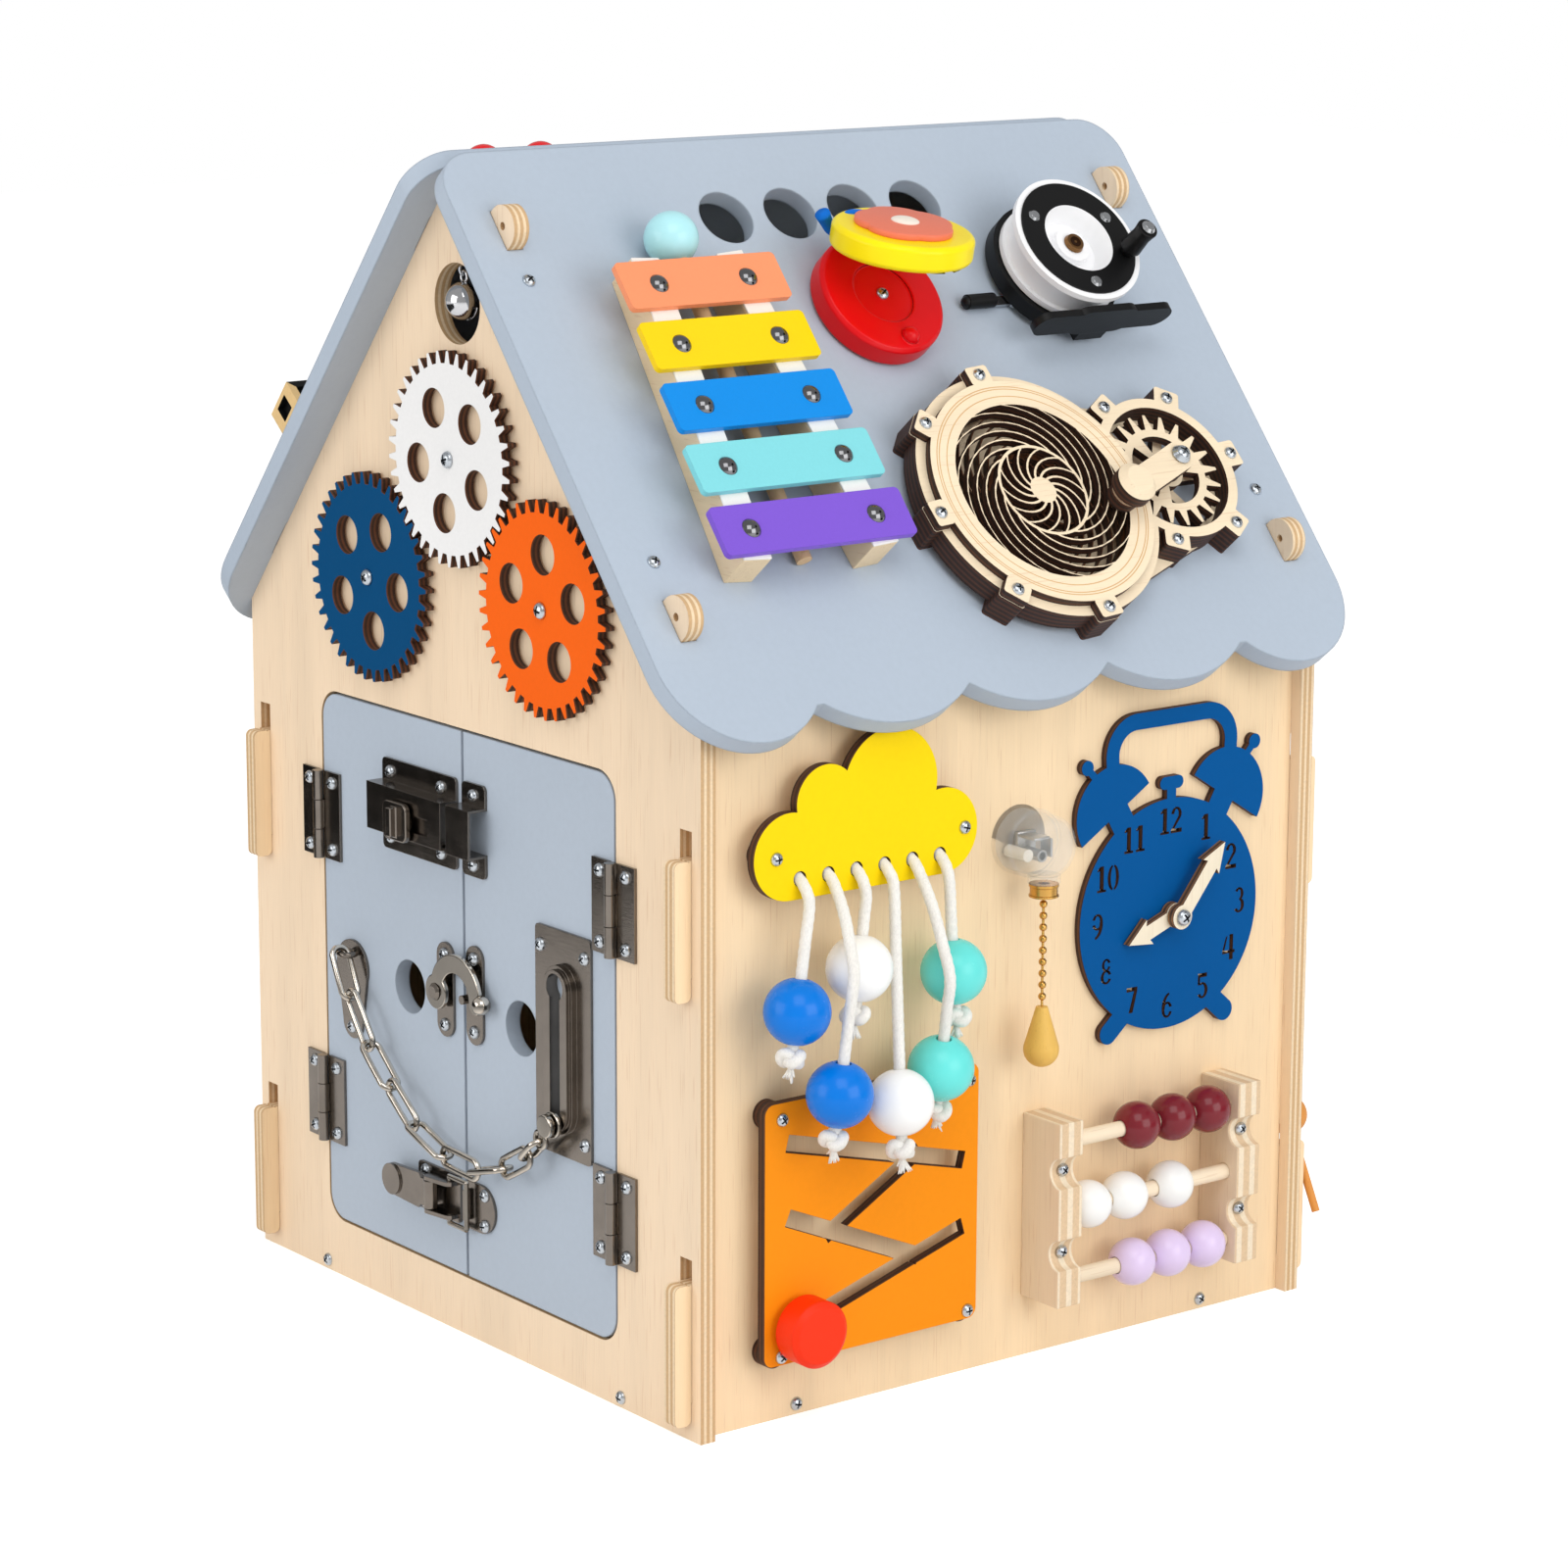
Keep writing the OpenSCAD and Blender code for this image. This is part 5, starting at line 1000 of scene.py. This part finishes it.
def set_screws():
    small = screw_head(5.2, 1.9)
    wide = screw_head(6.4, 2.2)
    house = []
    for x in (-101, 101):
        house += [("front", x, 4, 0, 30 * x), ("rear", x, 4, 0, 17)]
    for y in (-99.6, 99.6):
        house += [("wall", y, 4, 0, 41 * y), ("far_wall", y, 4, 0, 12)]
    for y in (-143.75, 143.75):
        for s in (65.7, 185):
            house += [("roof", y, s, 0, y + s), ("far_roof", y, s, 0, y - s)]
    for x in (-106.5, 106.5):
        for z in HINGE_HEIGHTS:
            house += [("front", x, z + d, PLATE_T, 3 * z + d + x) for d in (-HINGE_HOLE, HINGE_HOLE)]
    house += [("wall", y, z, 10.5, 5 * y + z) for y, z in ((-117.5, 213), (-31.5, 213))]
    house += [("wall", -71 + i * 43.5, 72.5 + j * 44.5, 10.5, 25 * i + 40 * j)
              for i in (-1, 1) for j in (-1, 1)]
    house += [("wall", y, z, 16.6, y * z) for y in (13.25, 103.75) for z in (76.5, 44.5)]
    house.append(("roof", *CASTANET, 9.5, 12))

    def box(a, r, drive):
        c, s = math.cos(math.radians(a)), math.sin(math.radians(a))
        away = DRIVE_APART if drive else 0
        return (GEARBOX[0] + away * math.cos(DRIVE_TILT) + r * c,
                GEARBOX[1] - away * math.sin(DRIVE_TILT) - r * s)

    house += [("roof", *box(a, 51.5, False), 16, a) for a in range(95, 276, 45)]
    house += [("roof", *box(a, 33.4, True), 12.5, 2 * a) for a in (-112, -54, 5, 63, 121)]
    heads = [copy_of(small, seat(*p)) for p in house]
    turns = [WHITE_GEAR]
    for way in (222.5, -38.7):
        turns.append((WHITE_GEAR[0] + GEAR_APART * math.cos(math.radians(way)),
                      WHITE_GEAR[1] + GEAR_APART * math.sin(math.radians(way))))
    heads += [copy_of(wide, seat("front", x, z, 5.0, x)) for x, z in turns]
    heads.append(copy_of(wide, seat("wall", *CLOCK, 11.3, 15)))
    heads.append(copy_of(wide, seat("roof", *box(0, 0, True), 22.4, 20)))
    spindles = []
    pins = [("front", x, z, 0, 5.1, 2.2) for x, z in turns] + [("wall", *CLOCK, 0, 11.4, 2.4)]
    pins += [("front", x, z, 0, 0.6, 5) for x, z in turns]
    for face, a, b, low, high, r in pins:
        bpy.ops.mesh.primitive_cylinder_add(vertices=32, radius=r * MM, depth=(high - low) * MM)
        pin = bpy.context.object
        apply_modifier(pin, "BEVEL", width=0.12 * MM, segments=2, limit_method="ANGLE")
        smooth(pin)
        pin.data.materials.append(ZINC)
        pin.matrix_world = seat(face, a, b, (low + high) / 2)
        spindles.append(pin)
    eye = wire_ring(1.9, 0.55)
    smooth(eye, 60)
    eye.data.materials.append(ZINC)
    eye.matrix_world = seat("front", 0, *BELL_EYE) @ Matrix.Rotation(math.pi / 2, 4, "Y")
    bpy.ops.mesh.primitive_cylinder_add(vertices=16, radius=0.55 * MM, depth=6 * MM)
    stem = bpy.context.object
    smooth(stem)
    stem.data.materials.append(ZINC)
    stem.matrix_world = Matrix.Translation(at("front", 0, BELL_EYE[0] + 4.9, BELL_EYE[1]))
    piece = join(heads + spindles + [eye, stem])
    finish_piece(piece, "house_screw_heads", "house")
    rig.replaces(piece, "house_screws")
    leaf = [(90.5, z + d) for z in HINGE_HEIGHTS for d in (-HINGE_HOLE, HINGE_HOLE)]
    left = [(-x, z) for x, z in leaf] + [
        (-48, 213.4), (-13, 213.4), (-48, 188), (-13, 188), (-11.8, 148.8), (-11.8, 121.2),
        (-78, 106), (-26.5, 60), (-26.5, 47)]
    right = leaf + [
        (8.8, 214), (8.8, 187.5), (8.2, 151), (8.2, 122.5), (52.6, 166), (80.6, 166), (52.6, 95.4),
        (80.6, 95.4), (14, 59.5), (14, 47.5)]
    spread_heads(small, [("front", x, z, PLATE_T, 7 * x + z) for x, z in left], "left_door_screw_heads",
                 "left_door", "left_door_screws")
    spread_heads(small, [("front", x, z, PLATE_T, 9 * x - z) for x, z in right], "right_door_screw_heads",
                 "right_door", "right_door_screws")
    for model in (small, wide):
        bpy.data.objects.remove(model)


set_screws()


# Castanet trim: a generic flower on the lid and the blue elastic
def on_lid(x, y, z):
    """A place on the lid, from the middle of its underside."""
    hinge = seat("roof", *CASTANET_HINGE) @ Matrix.Rotation(math.radians(-CASTANET_OPEN), 4, "X")
    return hinge @ Matrix.Translation(Vector((x, y - 27.9, z)) * MM)


def castanet_trim():
    bpy.ops.mesh.primitive_cylinder_add(vertices=96, radius=19 * MM, depth=2.6 * MM)
    flower = bpy.context.object
    shape = bmesh.new()
    shape.from_mesh(flower.data)
    for v in shape.verts:
        a = math.atan2(v.co.y, v.co.x)
        f = 0.9 + 0.1 * abs(math.cos(2.5 * a)) ** 0.6
        v.co.x *= f
        v.co.y *= f
    shape.to_mesh(flower.data)
    shape.free()
    apply_modifier(flower, "BEVEL", width=0.7 * MM, segments=3, limit_method="ANGLE")
    smooth(flower)
    coral = satin_paint("flower_coral", (236, 124, 96), 0.4, 0.03, 700)
    finish_piece(flower, "castanet_flower", "castanet_lid", coral, on_lid(0, 0, 11.2))
    bpy.ops.mesh.primitive_uv_sphere_add(segments=40, ring_count=16, radius=5.4 * MM)
    heart = bpy.context.object
    bpy.ops.transform.resize(value=(1, 1, 0.24))
    smooth(heart, 60)
    cream = satin_paint("flower_centre", (246, 236, 222), 0.4, 0.03, 700)
    finish_piece(heart, "castanet_flower_centre", "castanet_lid", cream, on_lid(0, 0, 12.5))
    fabric = satin_paint("elastic_end_blue", (0, 112, 214), 0.75, 0.05, 1600, 0.0004)
    loop = (-8, 62, 10.6), (-11.4, 60.6, 12), (-14.2, 58.6, 15), (-16.7, 57, 17.6)
    path = flowing([at("roof", *p) for p in loop], MM)
    wide = [(1.5 + 1.5 * i / (len(path) - 1)) * MM for i in range(len(path))]
    tail = tube_mesh("elastic", path, wide, 14)
    finish_piece(tail, "castanet_elastic_end", "house", fabric)
    bpy.ops.mesh.primitive_uv_sphere_add(segments=28, ring_count=14, radius=1 * MM)
    knot = bpy.context.object
    bpy.ops.transform.resize(value=(5.2, 2.6, 1.1))
    smooth(knot, 60)
    finish_piece(knot, "castanet_elastic_knot", "castanet_lid", fabric, on_lid(-7, 20.5, 9.9))


castanet_trim()


# Pull switch: a clear case with its contacts showing, and the brass mouth of the pull chain
def turned(name, profile, matrix, sides=56):
    """A lathe-turned piece from a closed outline of radius and height in millimetres."""
    mesh = bpy.data.meshes.new(name)
    shape = bmesh.new()
    rings = []
    for r, h in profile:
        rings.append([shape.verts.new(Vector((r * math.cos(2 * math.pi * k / sides),
                                              r * math.sin(2 * math.pi * k / sides), h)) * MM)
                      for k in range(sides)])
    for one, two in zip(rings, rings[1:] + rings[:1]):
        for k in range(sides):
            m = (k + 1) % sides
            shape.faces.new((one[k], one[m], two[m], two[k]))
    bmesh.ops.remove_doubles(shape, verts=shape.verts, dist=1e-7)
    bmesh.ops.dissolve_degenerate(shape, edges=shape.edges, dist=1e-7)
    bmesh.ops.recalc_face_normals(shape, faces=shape.faces)
    shape.to_mesh(mesh)
    shape.free()
    piece = bpy.data.objects.new(name, mesh)
    scene.collection.objects.link(piece)
    smooth(piece, 38)
    piece.matrix_world = matrix
    return piece


def brick(size, matrix, edge=0.25):
    bpy.ops.mesh.primitive_cube_add(size=1)
    piece = bpy.context.object
    bpy.ops.transform.resize(value=tuple(v * MM for v in size))
    bpy.ops.object.transform_apply(scale=True)
    apply_modifier(piece, "BEVEL", width=edge * MM, segments=2)
    smooth(piece)
    piece.matrix_world = matrix
    return piece


def build_switch():
    clear = clear_plastic("switch_clear")
    front = seat("wall", *SWITCH)
    down = Matrix.Translation(at("wall", *SWITCH, 15)) @ Matrix.Rotation(math.pi, 4, "X")
    outside = [(13, 0), (13, 9.3), (12.4, 9.9), (12, 10.2), (12, 17.8), (11.4, 19.6), (10.2, 20.9),
               (8.6, 21.6), (0.01, 21.6)]
    inside = [(0.01, 20.5), (8.3, 20.5), (9.9, 19.6), (10.9, 17.6), (10.9, 9.4), (11.9, 9.0), (11.9, 1.2),
              (0.01, 1.2), (0.01, 0)]
    shell = turned("switch_shell", outside + inside, front)
    neck = turned("switch_neck", [(6.2, 10.6), (6.2, 13.6), (5.8, 14), (5.1, 14), (5.1, 10.6)], down)
    case = join([shell, neck])
    finish_piece(case, "switch_case", "house", clear)
    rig.replaces(case, "pull_switch")
    mouth = [(5.6, 14.05), (5.6, 15), (5.2, 15.3), (5.2, 18), (5.6, 18.3), (5.6, 18.9), (5.3, 19.05),
             (2.2, 19.05), (2.2, 14.05)]
    ferrule = turned("switch_ferrule", mouth, down)
    finish_piece(ferrule, "switch_ferrule", "house", BRASS)
    parts = [brick((7.5, 1.0, 9), front @ Matrix.Translation((-1.5 * MM, 3 * MM, 11 * MM))),
             brick((1.0, 7.0, 6), front @ Matrix.Translation((4.5 * MM, -1.5 * MM, 11 * MM))),
             brick((9, 8, 2.4), front @ Matrix.Translation((0, 0, 4 * MM)), 0.6),
             turned("spring", [(2.3, 5.5), (2.3, 14), (1.5, 14), (1.5, 5.5)],
                    front @ Matrix.Translation((0, -4 * MM, 0)), 20)]
    contacts = join(parts)
    finish_piece(contacts, "switch_contacts", "house", metal("switch_contacts", (176, 176, 176), 0.3))
    post = turned("switch_post", [(2.4, 1.3), (2.4, 12.5), (0.01, 12.5), (0.01, 1.3)],
                  front @ Matrix.Translation((-5.6 * MM, -3.4 * MM, 0)), 24)
    finish_piece(post, "switch_post", "house", gloss("switch_ivory", (238, 230, 216)))


build_switch()
# A dark disc on the reel's bush: painted shade where its hole is.
dimple = [(2.3, 24.4), (2.3, 24.95), (0.01, 24.75), (0.01, 24.4)]
hole_shade = turned("reel_bush_hole_shade", dimple, seat("roof", *REEL), 32)
finish_piece(hole_shade, "reel_bush_hole_shade", "house", metal("reel_bush_shade", (66, 40, 22), 0.5))


# Light, world and floor
def light(name, where, look, power, size):
    data = bpy.data.lights.new(name, "AREA")
    data.energy = power
    data.shape = "RECTANGLE"
    data.size, data.size_y = size
    lamp = bpy.data.objects.new(name, data)
    scene.collection.objects.link(lamp)
    lamp.location = where
    lamp.rotation_euler = (Vector(look) - Vector(where)).to_track_quat("-Z", "Y").to_euler()


def dark_card(name, where, look, size):
    """A dark board that only polished metal mirrors."""
    bpy.ops.mesh.primitive_plane_add(size=1)
    card = bpy.context.object
    card.name = name
    card.scale = (size[0], size[1], 1)
    card.location = where
    card.rotation_euler = (Vector(look) - Vector(where)).to_track_quat("Z", "Y").to_euler()
    card.visible_camera = card.visible_diffuse = card.visible_shadow = card.visible_transmission = False
    card.data.materials.append(new_finish(name, base_color=(0.01, 0.01, 0.01, 1), roughness=0.9)[0])
    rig.stage(card)


def by_ray(tree, seen, mirrored, other):
    """A strength that differs between what the camera sees, what metal mirrors and soft light."""
    path = node(tree, "LightPath")
    straight = node(tree, "Math", operation="MAXIMUM")
    tree.links.new(path.outputs["Is Camera Ray"], straight.inputs[0])
    tree.links.new(path.outputs["Is Transmission Ray"], straight.inputs[1])
    total = None
    for source, value in ((straight.outputs[0], seen - other),
                          (path.outputs["Is Glossy Ray"], mirrored - other)):
        part = node(tree, "Math", operation="MULTIPLY_ADD")
        part.inputs[1].default_value = value
        part.inputs[2].default_value = other
        tree.links.new(source, part.inputs[0])
        if total:
            tree.links.new(total, part.inputs[2])
        total = part.outputs[0]
    return total


def set_stage():
    world = bpy.data.worlds.new("studio")
    scene.world = world
    world.use_nodes = True
    tree = world.node_tree
    back = tree.nodes["Background"]
    tree.links.new(by_ray(tree, 1.0, 0.45, 0.62), back.inputs["Strength"])
    back.inputs["Color"].default_value = (1, 1, 1, 1)
    light("key", (1.3, -0.7, 1.9), (0, 0, 0.2), 12.5, (1.3, 1.3))
    light("front_fill", (-0.4, -2.2, 0.8), (0, 0, 0.2), 13.5, (1.5, 1.3))
    light("side_fill", (2.2, 0.4, 0.8), (0, 0, 0.2), 17, (1.5, 1.3))
    dark_card("card_front", (-0.36, -0.43, 0.17), (0, -0.1, 0.17), (0.7, 0.24))
    dark_card("card_side", (0.75, 0.62, 0.1), (0.15, 0, 0.14), (0.5, 0.3))
    dark_card("card_top", (0.6, 0.75, 1.0), (0, 0, 0.3), (0.5, 0.3))
    bpy.ops.mesh.primitive_plane_add(size=9)
    floor = bpy.context.object
    floor.name = "studio_floor"
    material, tree, shader = new_finish("studio_floor", roughness=0.9)
    shader.inputs["Base Color"].default_value = (0.8, 0.8, 0.8, 1)
    shader.inputs["Emission Color"].default_value = (1, 1, 1, 1)
    tree.links.new(by_ray(tree, 0.55, 0.3, 0.0), shader.inputs["Emission Strength"])
    floor.data.materials.append(material)
    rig.stage(floor)


set_stage()

sizes = {"cad": [list(v) for v in cad_box], "visual": [list(v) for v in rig.bounds()]}
with open("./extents.json", "w") as out:
    json.dump(sizes, out)
